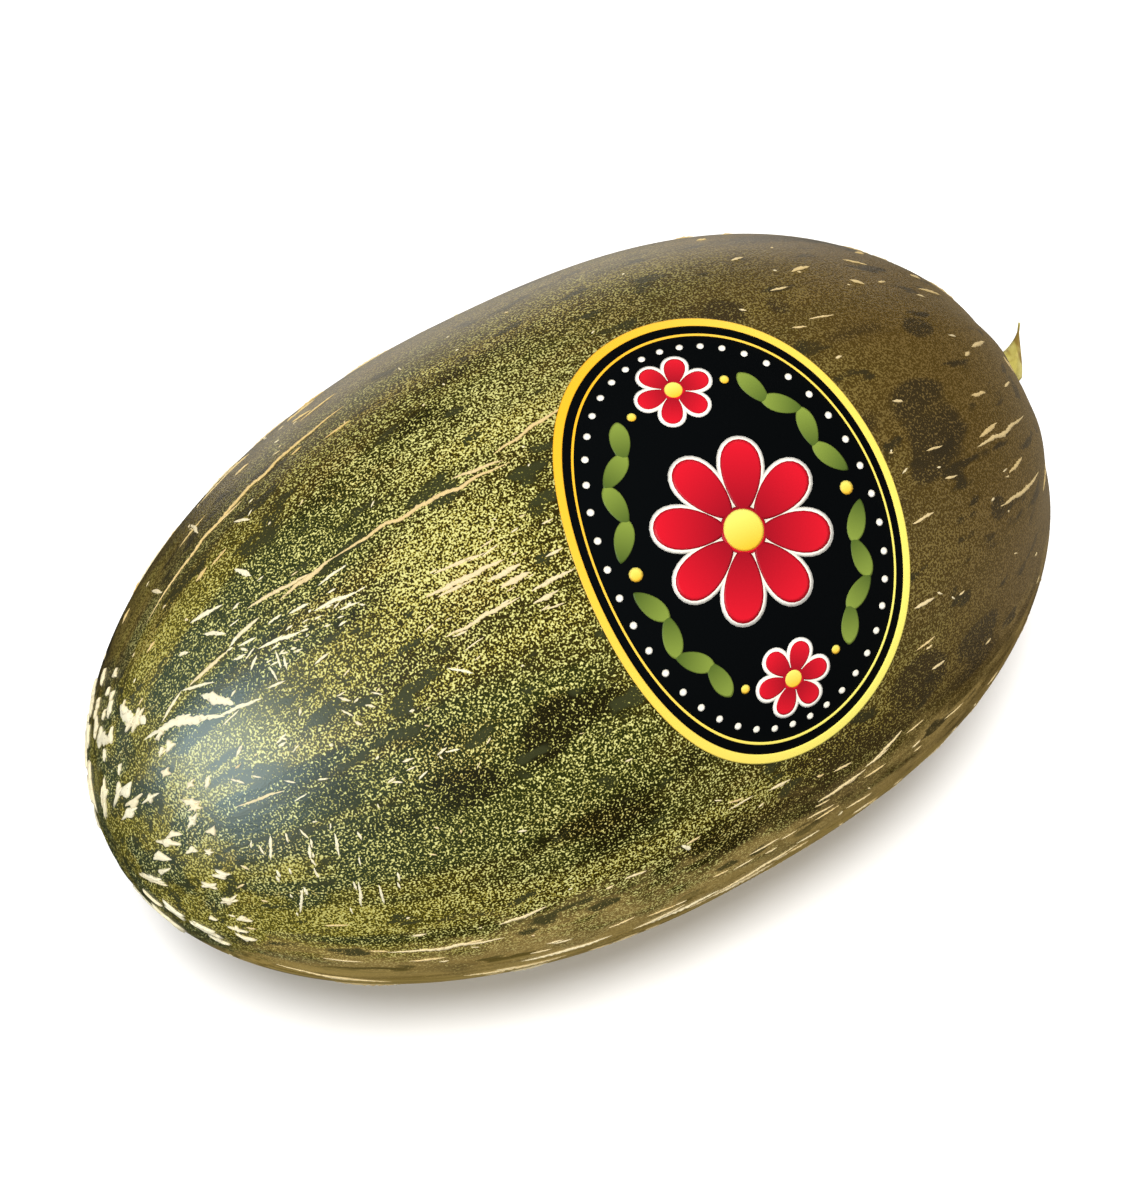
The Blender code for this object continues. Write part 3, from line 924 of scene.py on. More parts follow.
@dataclass
class Relief:
    """A growing mesh of closed shapes, each copied from a plain one and laid on the skin."""

    skin: Skin
    mesh: bmesh.types.BMesh = field(default_factory=bmesh.new)
    plain: dict = field(default_factory=dict)
    places: list[np.ndarray] = field(default_factory=list)
    tints: list[np.ndarray] = field(default_factory=list)
    edge_slack: float = 0.2
    hoop_section: float = 0.25

    def rod(self, cuts: int, sides: int) -> tuple[bpy.types.Mesh, np.ndarray, np.ndarray]:
        """Return a plain rod, the share along it of each vertex, and its turn about the rod.

        Args:
            cuts: the rings of vertices between its two ends.
            sides: the vertices in a ring.

        Returns:
            The mesh and, for each vertex, the share and the turn.
        """
        key = ("rod", cuts, sides)
        if key not in self.plain:
            made = bmesh.new()
            bmesh.ops.create_cone(made, cap_ends=True, segments=sides, radius1=1, radius2=1, depth=1)
            bmesh.ops.translate(made, verts=made.verts, vec=(0, 0, 0.5))
            long_edges = [e for e in made.edges if abs(e.verts[0].co.z - e.verts[1].co.z) > 0.5]
            bmesh.ops.subdivide_edges(made, edges=long_edges, cuts=cuts)
            data, raw = self.kept(made)
            self.plain[key] = (data, raw[:, 2], np.arctan2(raw[:, 1], raw[:, 0]))
        return self.plain[key]

    def disc(
        self, segments: int, rings: int
    ) -> tuple[bpy.types.Mesh, np.ndarray, np.ndarray, np.ndarray]:
        """Return a plain ball to press flat into a disc.

        Args:
            segments: the vertices round its edge.
            rings: the rings of vertices from its middle to its edge, on each of its two faces.

        Returns:
            The mesh and, for each vertex, the share of the way from the middle to the edge, the turn
            about the middle, and 1 on the upper face, -1 on the lower face and 0 at the edge.
        """
        key = ("disc", segments, rings)
        if key not in self.plain:
            made = bmesh.new()
            bmesh.ops.create_uvsphere(made, u_segments=segments, v_segments=2 * rings, radius=1)
            data, raw = self.kept(made)
            away = np.arccos(np.clip(raw[:, 2], -1, 1)) / (math.pi / 2)
            near_edge = np.abs(away - 1) < self.edge_slack / rings
            face = np.where(near_edge, 0, np.sign(1 - away))
            turn = np.arctan2(raw[:, 1], raw[:, 0])
            self.plain[key] = (data, np.where(away > 1, 2 - away, away), turn, face)
        return self.plain[key]

    def hoop(self, segments: int, sides: int) -> tuple[bpy.types.Mesh, np.ndarray, np.ndarray]:
        """Return a plain hoop, each vertex's turn about its middle, and the turn about its section.

        Args:
            segments: the sections round it.
            sides: the vertices in a section.

        Returns:
            The mesh and, for each vertex, the two turns.
        """
        key = ("hoop", segments, sides)
        if key not in self.plain:
            made = bmesh.new()
            bmesh.ops.create_circle(made, segments=sides, radius=self.hoop_section)
            bmesh.ops.rotate(made, verts=made.verts, matrix=Matrix.Rotation(math.pi / 2, 3, "X"))
            bmesh.ops.translate(made, verts=made.verts, vec=(1, 0, 0))
            bmesh.ops.spin(
                made, geom=made.verts[:] + made.edges[:], axis=(0, 0, 1), angle=2 * math.pi,
                steps=segments, use_merge=True,
            )
            data, raw = self.kept(made)
            section = np.arctan2(raw[:, 2], np.hypot(raw[:, 0], raw[:, 1]) - 1)
            self.plain[key] = (data, np.arctan2(raw[:, 1], raw[:, 0]), section)
        return self.plain[key]

    @staticmethod
    def kept(made: bmesh.types.BMesh) -> tuple[bpy.types.Mesh, np.ndarray]:
        """Turn a bmesh into a mesh and the array of its vertices.

        Args:
            made: the bmesh, freed here.

        Returns:
            The mesh, and a row of x, y and z for each vertex.
        """
        data = bpy.data.meshes.new("plain")
        made.to_mesh(data)
        made.free()
        flat = np.empty(len(data.vertices) * 3)
        data.vertices.foreach_get("co", flat)
        return data, flat.reshape(-1, 3)

    def add(self, plain: bpy.types.Mesh, places: np.ndarray, tint: np.ndarray | float) -> None:
        """Copy a plain shape with its vertices at places, and give them a tint from 0 to 1.

        Args:
            plain: the shape.
            places: a row of x, y and z for each vertex.
            tint: one tint, or one for each vertex.
        """
        self.mesh.from_mesh(plain)
        self.places.append(places)
        self.tints.append(np.zeros(len(places)) + tint)

    def finished(
        self, name: str, material: bpy.types.Material, slot: str, node: str | None
    ) -> bpy.types.Object:
        """Return the piece of all the shapes, faces outward, with its tint attribute.

        Args:
            name: the piece's name.
            material: its finish.
            node: the solid that the piece stands for, or None.

        Returns:
            The new object.
        """
        data = bpy.data.meshes.new(name)
        self.mesh.to_mesh(data)
        data.vertices.foreach_set("co", np.concatenate(self.places).ravel())
        self.mesh.clear()
        self.mesh.from_mesh(data)
        bmesh.ops.recalc_face_normals(self.mesh, faces=self.mesh.faces)
        bpy.data.meshes.remove(data)
        for plain, *_ in self.plain.values():
            bpy.data.meshes.remove(plain)
        piece = finished(name, self.mesh, material, node)
        tint = piece.data.attributes.new(TINT, "FLOAT", "POINT")
        tint.data.foreach_set("value", np.concatenate(self.tints))
        return piece


class CorkLine(NamedTuple):
    """A raised line from one place to another: x in mm, angles in degrees, width in mm, tan 0 to 1."""

    from_x: float
    from_angle: float
    to_x: float
    to_angle: float
    width: float = 1.5
    tan: float = 0.2


class CorkZone(NamedTuple):
    """Lines scattered by a rule over a stretch of the skin, in mm and degrees.

    The heading is 0 for lines along the melon and 90 for lines across it.
    """

    count: int
    x_range: tuple[float, float]
    angle_range: tuple[float, float]
    lengths: tuple[float, float]
    widths: tuple[float, float]
    heading: tuple[float, float] = (0.0, 12.0)
    tan: tuple[float, float] = (0.1, 0.4)


MAIN_LINES = (
    CorkLine(-37, -39, -105, -36, 1.2, 0.9),
    CorkLine(-16, -2, -64, -5, 1.2, 0.8),
    CorkLine(-63, -5, -79, -5, 1.3, 0.7),
    CorkLine(-69, -5, -86, -9, 1.1, 0.6),
    CorkLine(3, -7, -18, -5, 1.1, 0.8),
    CorkLine(-17, -3, -30, -5, 0.9, 0.7),
    CorkLine(-85, -5, -93, -5, 1.1, 0.3),
    CorkLine(-95, -4, -106, -5, 1.1, 0.5),
    CorkLine(-46, 9, -35, 10, 1.0, 0.5),
    CorkLine(-50, 12, -30, 13, 1.6, 0.5),
    CorkLine(-48, 13, -38, 13.5, 0.9, 0.5),
    CorkLine(-36, 15, -27, 15, 1.6, 0.45),
    CorkLine(-34, 17, -26, 17, 1.6, 0.5),
    CorkLine(-28, 20, -16, 20, 1.2, 0.45),
    CorkLine(-29, 22, -22, 22, 1.2, 0.45),
    CorkLine(-51, 20, -31, 20, 1.2, 0.5),
    CorkLine(-21, 16, -16, 16, 0.8, 0.4),
    CorkLine(-70, -2, -62, -2, 0.9, 0.05),
    CorkLine(-79, -1, -74, 0, 0.9, 0.05),
    CorkLine(-74, 2, -63, 4, 1.1, 0.05),
    CorkLine(-69, 5, -64, 6, 0.6, 0.05),
    CorkLine(-89, 1, -79, 4, 1.1, 0.05),
    CorkLine(-86, 4, -87, 8, 0.7, 0.05),
    CorkLine(-85, 6, -86, 9, 0.7, 0.05),
    CorkLine(-89, 6, -89, 10, 0.6, 0.05),
    CorkLine(-90, 2, -93, 4, 0.8, 0.05),
    CorkLine(-95, -1, -92, 0, 0.9, 0.05),
    CorkLine(-115, -4, -108, -6, 0.8, 0.2),
    CorkLine(-108, -6, -101, 0, 0.8, 0.1),
    CorkLine(-120, -6, -103, 9, 2.2, 0.05),
    CorkLine(-104, 8, -94, 11, 1.1, 0.05),
    CorkLine(-115, -2, -109, 2, 1.0, 0.05),
    CorkLine(-105, 0, -100, 8, 2.6, 0.05),
    CorkLine(-97, -13, -93, -8, 1.2, 0.1),
    CorkLine(-98, -19, -90, -15, 1.2, 0.1),
    CorkLine(-104, -15, -102, -13, 1.2, 0.1),
    CorkLine(-120, -27, -120, -14, 2.8, 0.05),
    CorkLine(-118, -16, -118, -10, 1.8, 0.05),
    CorkLine(-83, -20, -81, -15, 1.5, 0.05),
    CorkLine(-96, 22, -93, 21, 0.8, 0.05),
    CorkLine(-114, 23, -112, 20, 1.4, 0.05),
    CorkLine(-63, 87, -90, 87, 1.1, 0.5),
    CorkLine(-52, 80, -64, 82, 1.0, 0.5),
    CorkLine(38, 84, 23, 85, 1.1, 0.6),
    CorkLine(50, 80, 40, 83, 1.0, 0.6),
    CorkLine(120, 37, 97, 35, 1.3, 0.7),
    CorkLine(117, 55, 97, 50, 1.2, 0.7),
    CorkLine(-127, -46, -126, -27, 2.4, 0.1),
    CorkLine(-110, 32, -99, 33, 0.8, 0.5),
    CorkLine(-54, 25, -49, 28, 0.8, 0.0),
    CorkLine(-16, 77, -14, 79, 1.4, 0.1),
    CorkLine(-76, -32, -73, -28, 0.9, 0.3),
    CorkLine(-82, -50, -83, -42, 1.0, 0.4),
    CorkLine(-99, -45, -98, -38, 1.0, 0.4),
    CorkLine(-106, 43, -108, 50, 0.9, 0.05),
    CorkLine(-99, 48, -100, 52, 0.8, 0.05),
    CorkLine(-93, 47, -94, 53, 0.8, 0.05),
    CorkLine(-92, 61, -93, 69, 0.8, 0.1),
    CorkLine(-88, 63, -88, 69, 0.7, 0.1),
    CorkLine(-104, 61, -106, 70, 0.8, 0.1),
)

CORK_ZONES = (
    CorkZone(26, (-112, -80), (40, 72), (1.2, 4.0), (0.45, 0.75), (90, 12), (0.0, 0.2)),
    CorkZone(26, (-92, -62), (0, 8), (0.8, 2.6), (0.4, 0.7), (6, 14), (0.0, 0.15)),
    CorkZone(16, (-106, -62), (-16, 12), (1.5, 5.0), (0.4, 0.8), (8, 16), (0.0, 0.2)),
    CorkZone(20, (-58, -14), (6, 24), (1.5, 6.0), (0.4, 0.7), (0, 6), (0.3, 0.6)),
    CorkZone(26, (-110, -60), (14, 42), (1.0, 3.5), (0.5, 0.9), (15, 30), (0.0, 0.3)),
    CorkZone(22, (-112, -30), (-80, -24), (2.0, 12.0), (0.6, 1.1), (0, 8), (0.7, 1.0)),
    CorkZone(44, (55, 126), (-70, 80), (2.0, 8.0), (0.6, 1.3), (0, 16), (0.5, 0.9)),
    CorkZone(60, (-105, 85), (72, 112), (2.0, 9.0), (0.5, 0.9), (0, 6), (0.4, 0.8)),
    CorkZone(260, (-122, 112), (-180, 180), (0.7, 2.4), (0.4, 0.7), (0, 30), (0.1, 0.7)),
    CorkZone(130, (-116, 105), (100, 300), (3.0, 26.0), (0.8, 1.5), (0, 8), (0.3, 0.8)),
)


@dataclass
class CorkNet:
    """All the raised cork on the rind, as one piece of low crusts sunk into the skin.

    A wave is the length over which an edge, a path or a crest wavers. A share is of a crust's own
    width, length or height.
    """

    skin: Skin
    label: "Label"
    finish: CorkFinish
    seed: int = 5
    sides: int = 8
    step: float = 0.0007
    fewest_cuts: int = 3
    sunk: float = 0.00035
    height: float = 0.00045
    height_share: float = 0.32
    end_power: float = 0.6
    end_share: float = 0.12
    end_clip: Span = (0.01, 0.99)
    edge_waves: tuple[Span, ...] = ((0.3, 0.0042), (0.45, 0.0012))
    edge_range: Span = (0.15, 1.8)
    sway: float = 0.0007
    sway_share: float = 0.02
    sway_wave: float = 0.014
    least_rise: float = 0.01
    crest_share: float = 0.4
    crest_wave: float = 0.002
    last_x_mm: float = 128.0
    flat_half_angle: float = 16.0
    flat_half_x_mm: float = 40.0
    clumps: int = 130
    clump_grid: tuple[int, int] = (24, 4)
    clump_x: Span = (-0.1325, -0.116)
    clump_sizes: Span = (0.0005, 0.0014)
    clump_stretches: Span = (1.0, 2.2)
    clump_lean: float = 0.5
    clump_points: tuple[int, ...] = (3, 4, 5)
    clump_reach: float = 1.55
    clump_waver: float = 0.2
    clump_height_share: float = 1.4
    clump_tints: Span = (0.0, 0.3)
    notch_power: float = 0.6
    notch_depths: Span = (0.75, 1.05)

    def build(self) -> bpy.types.Object:
        """Return the cork piece.

        Returns:
            The piece of every crust and clump.
        """
        draw = random.Random(self.seed)
        relief = Relief(self.skin)
        for line in MAIN_LINES:
            self.add_line(relief, line, draw)
        for zone in CORK_ZONES:
            self.scatter(relief, zone, draw)
        self.add_blossom_clumps(relief, draw)
        return relief.finished("cork_net", self.finish.build(self.skin), "rind", None)

    def scatter(self, relief: Relief, zone: CorkZone, draw: random.Random) -> None:
        """Lay a zone's lines, leaving the label and the flat spot bare.

        Args:
            relief: the shapes so far.
            zone: where the lines lie, and their sizes.
            draw: the source of the random draws.
        """
        laid = 0
        while laid < zone.count:
            x, angle = draw.uniform(*zone.x_range), draw.uniform(*zone.angle_range)
            length = draw.uniform(*zone.lengths)
            heading = math.radians(draw.gauss(*zone.heading))
            per_mm = math.degrees(MM / self.skin.side_radius(x * MM))
            to_x = min(x + length * math.cos(heading), self.last_x_mm)
            to_angle = angle + length * math.sin(heading) * per_mm
            width, tan = draw.uniform(*zone.widths), draw.uniform(*zone.tan)
            if self.bare(x, angle) or self.bare(to_x, to_angle):
                continue
            self.add_line(relief, CorkLine(x, angle, to_x, to_angle, width, tan), draw)
            laid += 1

    def bare(self, x: float, angle: float) -> bool:
        """Say whether a place is under the label or on the flat spot."""
        under = abs((angle + 180) % 360 - 180) > 180 - self.flat_half_angle
        return self.label.covers(x * MM, angle) or (under and abs(x) < self.flat_half_x_mm)

    def add_line(self, relief: Relief, line: CorkLine, draw: random.Random) -> None:
        """Add one crust along a line, with ragged edges and narrow ends.

        Args:
            relief: the cork so far.
            line: where the crust runs, its width and its tint.
            draw: the random draws that waver its edges, path and crest.
        """
        radius = self.skin.side_radius((line.from_x + line.to_x) * MM / 2)
        run = (line.to_x - line.from_x) * MM
        across = math.radians(line.to_angle - line.from_angle) * radius
        length = math.hypot(run, across)
        plain, share, turn = relief.rod(max(self.fewest_cuts, round(length / self.step)), self.sides)
        way = share * length
        bulge = np.sin(np.pi * np.clip(share, *self.end_clip)) ** self.end_power
        fullness = np.clip(bulge, self.end_share, 1)
        edges = [
            1 + sum(size * wiggle(way, wave, draw) for size, wave in self.edge_waves) for _ in range(2)
        ]
        ragged = np.clip(np.where(np.cos(turn) > 0, *edges), *self.edge_range)
        half = line.width * MM / 2 * fullness * ragged
        sway = min(self.sway, self.sway_share * length) * wiggle(way, self.sway_wave, draw)
        side = sway * np.sin(np.pi * share) + half * np.cos(turn)
        crest = min(self.height, self.height_share * line.width * MM) * fullness
        crest = crest * (1 + self.crest_share * wiggle(way, self.crest_wave, draw))
        rise = np.sin(turn)
        lift = np.where(rise > self.least_rise, crest * np.sqrt(np.abs(rise)), -self.sunk)
        x = line.from_x * MM + run * share - side * across / length
        angle = line.from_angle + (line.to_angle - line.from_angle) * share
        angle = angle + np.degrees(side * run / length / radius)
        relief.add(plain, self.skin.place(x, angle, lift), line.tan)

    def add_blossom_clumps(self, relief: Relief, draw: random.Random) -> None:
        """Add the jagged lumps of cork round the blossom end.

        Args:
            relief: the shapes so far.
            draw: the source of the random draws.
        """
        plain, share, turn, face = relief.disc(*self.clump_grid)
        for _ in range(self.clumps):
            x, angle = draw.uniform(*self.clump_x), draw.uniform(-180, 180)
            size = draw.uniform(*self.clump_sizes)
            radius = self.skin.side_radius(x)
            heading = draw.gauss(0, self.clump_lean)
            points = draw.choice(self.clump_points)
            notches = np.abs(np.sin(points * turn / 2 + draw.uniform(0, 3))) ** self.notch_power
            notches = notches * draw.uniform(*self.notch_depths)
            jagged = self.clump_reach - notches + self.clump_waver * wiggle(turn, math.pi, draw)
            ahead = draw.uniform(*self.clump_stretches) * size * share * jagged * np.cos(turn)
            aside = size * share * jagged * np.sin(turn)
            along = ahead * math.cos(heading) - aside * math.sin(heading)
            around = ahead * math.sin(heading) + aside * math.cos(heading)
            lift = np.where(face > 0, self.height * (self.clump_height_share - share**4), -self.sunk)
            places = self.skin.place(x + along, angle + np.degrees(around / radius), lift)
            relief.add(plain, places, draw.uniform(*self.clump_tints))


class InkLook(NamedTuple):
    """An ink's two tones, its roughness, and its height in mm above the rind."""

    first: Colour
    second: Colour
    roughness: float
    height: float


class Ink(Enum):
    """The colours of the label: its black sheet and the four inks on it."""

    BLACK = InkLook(linear(3, 5, 6), linear(8, 9, 10), 0.55, 0.30)
    CREAM = InkLook(linear(250, 246, 236), linear(232, 226, 208), 0.5, 0.37)
    RED = InkLook(linear(214, 22, 40), linear(150, 14, 30), 0.45, 0.43)
    LEAF = InkLook(linear(132, 150, 62), linear(72, 92, 34), 0.5, 0.43)
    GOLD = InkLook(linear(244, 182, 40), linear(240, 228, 110), 0.4, 0.49)

    @property
    def top(self) -> float:
        """The height of the ink's face above the rind, in metres."""
        return self.value.height * MM


class Motif(NamedTuple):
    """One printed shape on the label: its middle, half sizes and heading, in mm and degrees.

    A point of 1 leaves an oval and a larger one draws its two ends out; the taper thins its far end.
    """

    ink: Ink
    round_way: float
    along_way: float
    half_long: float
    half_wide: float
    heading: float = 0.0
    point: float = 1.0
    taper: float = 0.0


class Flower(NamedTuple):
    """A flower's petals: how many, and their reach from its middle and half sizes, in mm."""

    petals: int
    reach: float
    half_long: float
    half_wide: float


@dataclass(frozen=True)
class InkFinish:
    """Printed paper in one ink, its two tones mixed by the piece's tint."""

    ink: Ink
    tooth: Pattern = Pattern(2500.0)
    bump: Bump = Bump(0.08, 0.0001)
    specular: float = 0.1

    def build(self, skin: Skin) -> bpy.types.Material:
        """Return the ink's material.

        Args:
            skin: the melon's skin.

        Returns:
            The finished material.
        """
        look = self.ink.value
        n = Nodes("Ink " + self.ink.name.lower())
        n.surface(n.mix(n.tint(), look.first, look.second), look.roughness, self.specular)
        n.bump(n.noise(n.centred(skin.middle), self.tooth), self.bump)
        return n.material


@dataclass
class Label:
    """The oval paper label: a black field in a gold rim, with a flower wreath printed on it.

    A share is of the label's own size. Sizes of the printed shapes are in mm.
    """

    skin: Skin
    middle_x: float = 0.0259
    middle_angle: float = 27.2
    half_round: float = 0.0622
    half_along: float = 0.0427
    turned: float = 4.4
    sunk: float = 0.00015
    sheet_edge_share: float = 0.6
    print_crown: float = 0.00004
    print_edge: float = 0.00006
    margin: float = 1.04
    rim_shares: Span = (0.952, 1.0)
    line_shares: Span = (0.893, 0.906)
    gold_turn: float = 0.6
    bead_share: float = 0.835
    bead_radius: float = 0.95
    beads: int = 44
    main_flower: Flower = Flower(8, 13.6, 9.2, 5.0)
    end_flower: Flower = Flower(6, 5.6, 4.1, 2.6)
    end_flower_way: float = 39.5
    petal_taper: float = -0.3
    outline: float = 0.9
    eye_lap: float = 0.8
    wreath_radii: Span = (41.0, 29.6)
    leaf: Motif = Motif(Ink.LEAF, 0, 0, 5.6, 2.5, point=1.35, taper=-0.2)
    leaf_lean: float = 24.0
    leaf_angles: tuple[float, ...] = (12.0, 25.0, 38.0, 51.0)
    end_berry_angle: float = 64.0
    end_berry_radius: float = 1.2
    side_berry_radius: float = 1.8
    sheet_grid: tuple[int, int] = (192, 44)
    hoop_grid: tuple[int, int] = (192, 8)
    hoop_slack: float = 0.1
    print_grid: tuple[int, int] = (28, 7)
    dot_grid: tuple[int, int] = (12, 2)
    dot_half_size: float = 2.0

    def build(self) -> list[bpy.types.Object]:
        """Return the label's sheet and its printed shapes, one piece for each ink.

        Returns:
            The label's pieces.
        """
        motifs = self.flower(0.0, self.main_flower) + self.wreath() + self.bead_ring()
        for end in (-1, 1):
            motifs += self.flower(end * self.end_flower_way, self.end_flower)
        pieces = [self.sheet()]
        for ink in (Ink.CREAM, Ink.RED, Ink.LEAF, Ink.GOLD):
            relief = Relief(self.skin)
            for motif in motifs:
                if motif.ink is ink:
                    self.add_motif(relief, motif)
            if ink is Ink.GOLD:
                self.add_hoop(relief, self.rim_shares, ink)
                self.add_hoop(relief, self.line_shares, ink)
            name = "label_" + ink.name.lower()
            pieces.append(relief.finished(name, InkFinish(ink).build(self.skin), "label_paper", None))
        return pieces

    def place(self, round_way: np.ndarray, along_way: np.ndarray, lift: np.ndarray) -> np.ndarray:
        """Return points of the label from distances round and along the melon from its middle.

        Args:
            round_way: distances round the melon.
            along_way: distances along it.
            lift: heights above the rind.

        Returns:
            A row of x, y and z for each point.
        """
        tilt = math.radians(self.turned)
        x = self.middle_x + along_way * math.cos(tilt) - round_way * math.sin(tilt)
        across = along_way * math.sin(tilt) + round_way * math.cos(tilt)
        radius = self.skin.side_radius_at(x)
        return self.skin.place(x, self.middle_angle + np.degrees(across / radius), lift)

    def covers(self, x: float, angle: float) -> bool:
        """Say whether a place on the skin is under the label or close beside it.

        Args:
            x: the distance from the melon's middle along its length.
            angle: degrees from the top.

        Returns:
            True if it is.
        """
        tilt = math.radians(self.turned)
        across = math.radians((angle - self.middle_angle + 180) % 360 - 180) * self.skin.side_radius(x)
        along_way = (x - self.middle_x) * math.cos(tilt) + across * math.sin(tilt)
        round_way = across * math.cos(tilt) - (x - self.middle_x) * math.sin(tilt)
        return math.hypot(along_way / self.half_along, round_way / self.half_round) < self.margin

    def sheet(self) -> bpy.types.Object:
        """Return the black sheet, from a disc laid on the rind.

        Returns:
            The piece that stands for the label's solid.
        """
        relief = Relief(self.skin)
        plain, share, turn, face = relief.disc(*self.sheet_grid)
        top = Ink.BLACK.top
        lift = np.where(face > 0, top, np.where(face < 0, -self.sunk, top * self.sheet_edge_share))
        relief.add(plain, self.place(*self.oval(share, turn), lift), 0.5)
        material = InkFinish(Ink.BLACK).build(self.skin)
        return relief.finished("label_sheet", material, "label_paper", "label")

    def oval(self, share: np.ndarray | float, turn: np.ndarray | float) -> tuple:
        """Return the ways round and along the melon at a share of the label's size."""
        return self.half_round * share * np.cos(turn), self.half_along * share * np.sin(turn)

    def add_hoop(self, relief: Relief, shares: Span, ink: Ink) -> None:
        """Add an oval band between two shares of the label's size.

        Args:
            relief: the shapes so far.
            shares: the band's inner and outer edge.
            ink: its ink.
        """
        plain, turn, section = relief.hoop(*self.hoop_grid)
        middle, half = (shares[0] + shares[1]) / 2, (shares[1] - shares[0]) / 2
        share = middle + half * np.cos(section)
        top = ink.top - self.print_edge * np.cos(section) ** 6
        on_top = np.sin(section) > -self.hoop_slack
        lift = np.where(on_top, top, Ink.BLACK.top - self.sunk)
        tint = 0.5 + 0.5 * np.cos(turn - self.gold_turn)
        relief.add(plain, self.place(*self.oval(share, turn), lift), tint)

    def add_motif(self, relief: Relief, motif: Motif) -> None:
        """Add one printed shape, its tint rising from its far end to its near end.

        Args:
            relief: the shapes so far.
            motif: the shape.
        """
        grid = self.dot_grid if motif.half_long < self.dot_half_size else self.print_grid
        plain, share, turn, face = relief.disc(*grid)
        ahead = np.cos(turn)
        aside = np.sign(np.sin(turn)) * np.abs(np.sin(turn)) ** motif.point
        aside = aside * (1 - motif.taper * ahead)
        long_way = motif.half_long * MM * share * ahead
        wide_way = motif.half_wide * MM * share * aside
        heading = math.radians(motif.heading)
        round_way = motif.round_way * MM + long_way * math.cos(heading) - wide_way * math.sin(heading)
        along_way = motif.along_way * MM + long_way * math.sin(heading) + wide_way * math.cos(heading)
        top, edge = motif.ink.top, motif.ink.top - self.print_edge
        lift = np.where(face < 0, Ink.BLACK.top - self.sunk, edge)
        lift = np.where(face > 0, top - self.print_crown * share**6, lift)
        relief.add(plain, self.place(round_way, along_way, lift), 0.5 - 0.5 * share * ahead)

    def flower(self, round_way: float, kind: Flower) -> list[Motif]:
        """Return a flower on the label's middle line: red petals edged in cream about a gold eye.

        Args:
            round_way: how far round the melon from the label's middle, in mm.
            kind: its petals.

        Returns:
            The flower's shapes, from the lowest up.
        """
        motifs = []
        for count in range(kind.petals):
            heading = 360 * count / kind.petals + 180 / kind.petals
            way = math.radians(heading)
            at = (round_way + kind.reach * math.cos(way), kind.reach * math.sin(way))
            for ink, edge in ((Ink.CREAM, self.outline), (Ink.RED, 0.0)):
                size = (kind.half_long + edge, kind.half_wide + edge)
                motifs.append(Motif(ink, *at, *size, heading, taper=self.petal_taper))
        eye = kind.reach - kind.half_long + self.eye_lap
        motifs.append(self.dot(Ink.RED, (round_way, 0.0), eye + self.eye_lap))
        motifs.append(self.dot(Ink.GOLD, (round_way, 0.0), eye))
        return motifs

    def wreath(self) -> list[Motif]:
        """Return the leaves and berries on both sides of the middle flower.

        Returns:
            The wreath's shapes.
        """
        motifs = []
        for side in (-1, 1):
            motifs.append(self.dot(Ink.GOLD, self.wreath_place(0.0, 1, side), self.side_berry_radius))
            for end in (-1, 1):
                for count, angle in enumerate(self.leaf_angles):
                    at = self.wreath_place(angle, end, side)
                    ahead = self.wreath_place(angle + 90, end, side)
                    lean = (self.leaf_lean if count % 2 else -self.leaf_lean) * end * side
                    heading = math.degrees(math.atan2(ahead[1], ahead[0])) + lean
                    motifs.append(self.leaf._replace(round_way=at[0], along_way=at[1], heading=heading))
                at = self.wreath_place(self.end_berry_angle, end, side)
                motifs.append(self.dot(Ink.GOLD, at, self.end_berry_radius))
        return motifs

    def wreath_place(self, angle: float, end: int, side: int) -> Span:
        """Return a place on the wreath's oval, at an angle from a side towards an end."""
        way = math.radians(angle)
        return end * self.wreath_radii[0] * math.sin(way), side * self.wreath_radii[1] * math.cos(way)

    def bead_ring(self) -> list[Motif]:
        """Return the cream beads inside the rim.

        Returns:
            The beads.
        """
        motifs = []
        for count in range(self.beads):
            round_way, along_way = self.oval(self.bead_share, 2 * math.pi * (count + 0.5) / self.beads)
            motifs.append(self.dot(Ink.CREAM, (round_way / MM, along_way / MM), self.bead_radius))
        return motifs

    @staticmethod
    def dot(ink: Ink, at: Span, radius: float) -> Motif:
        """Return a round printed spot."""
        return Motif(ink, *at, radius, radius)


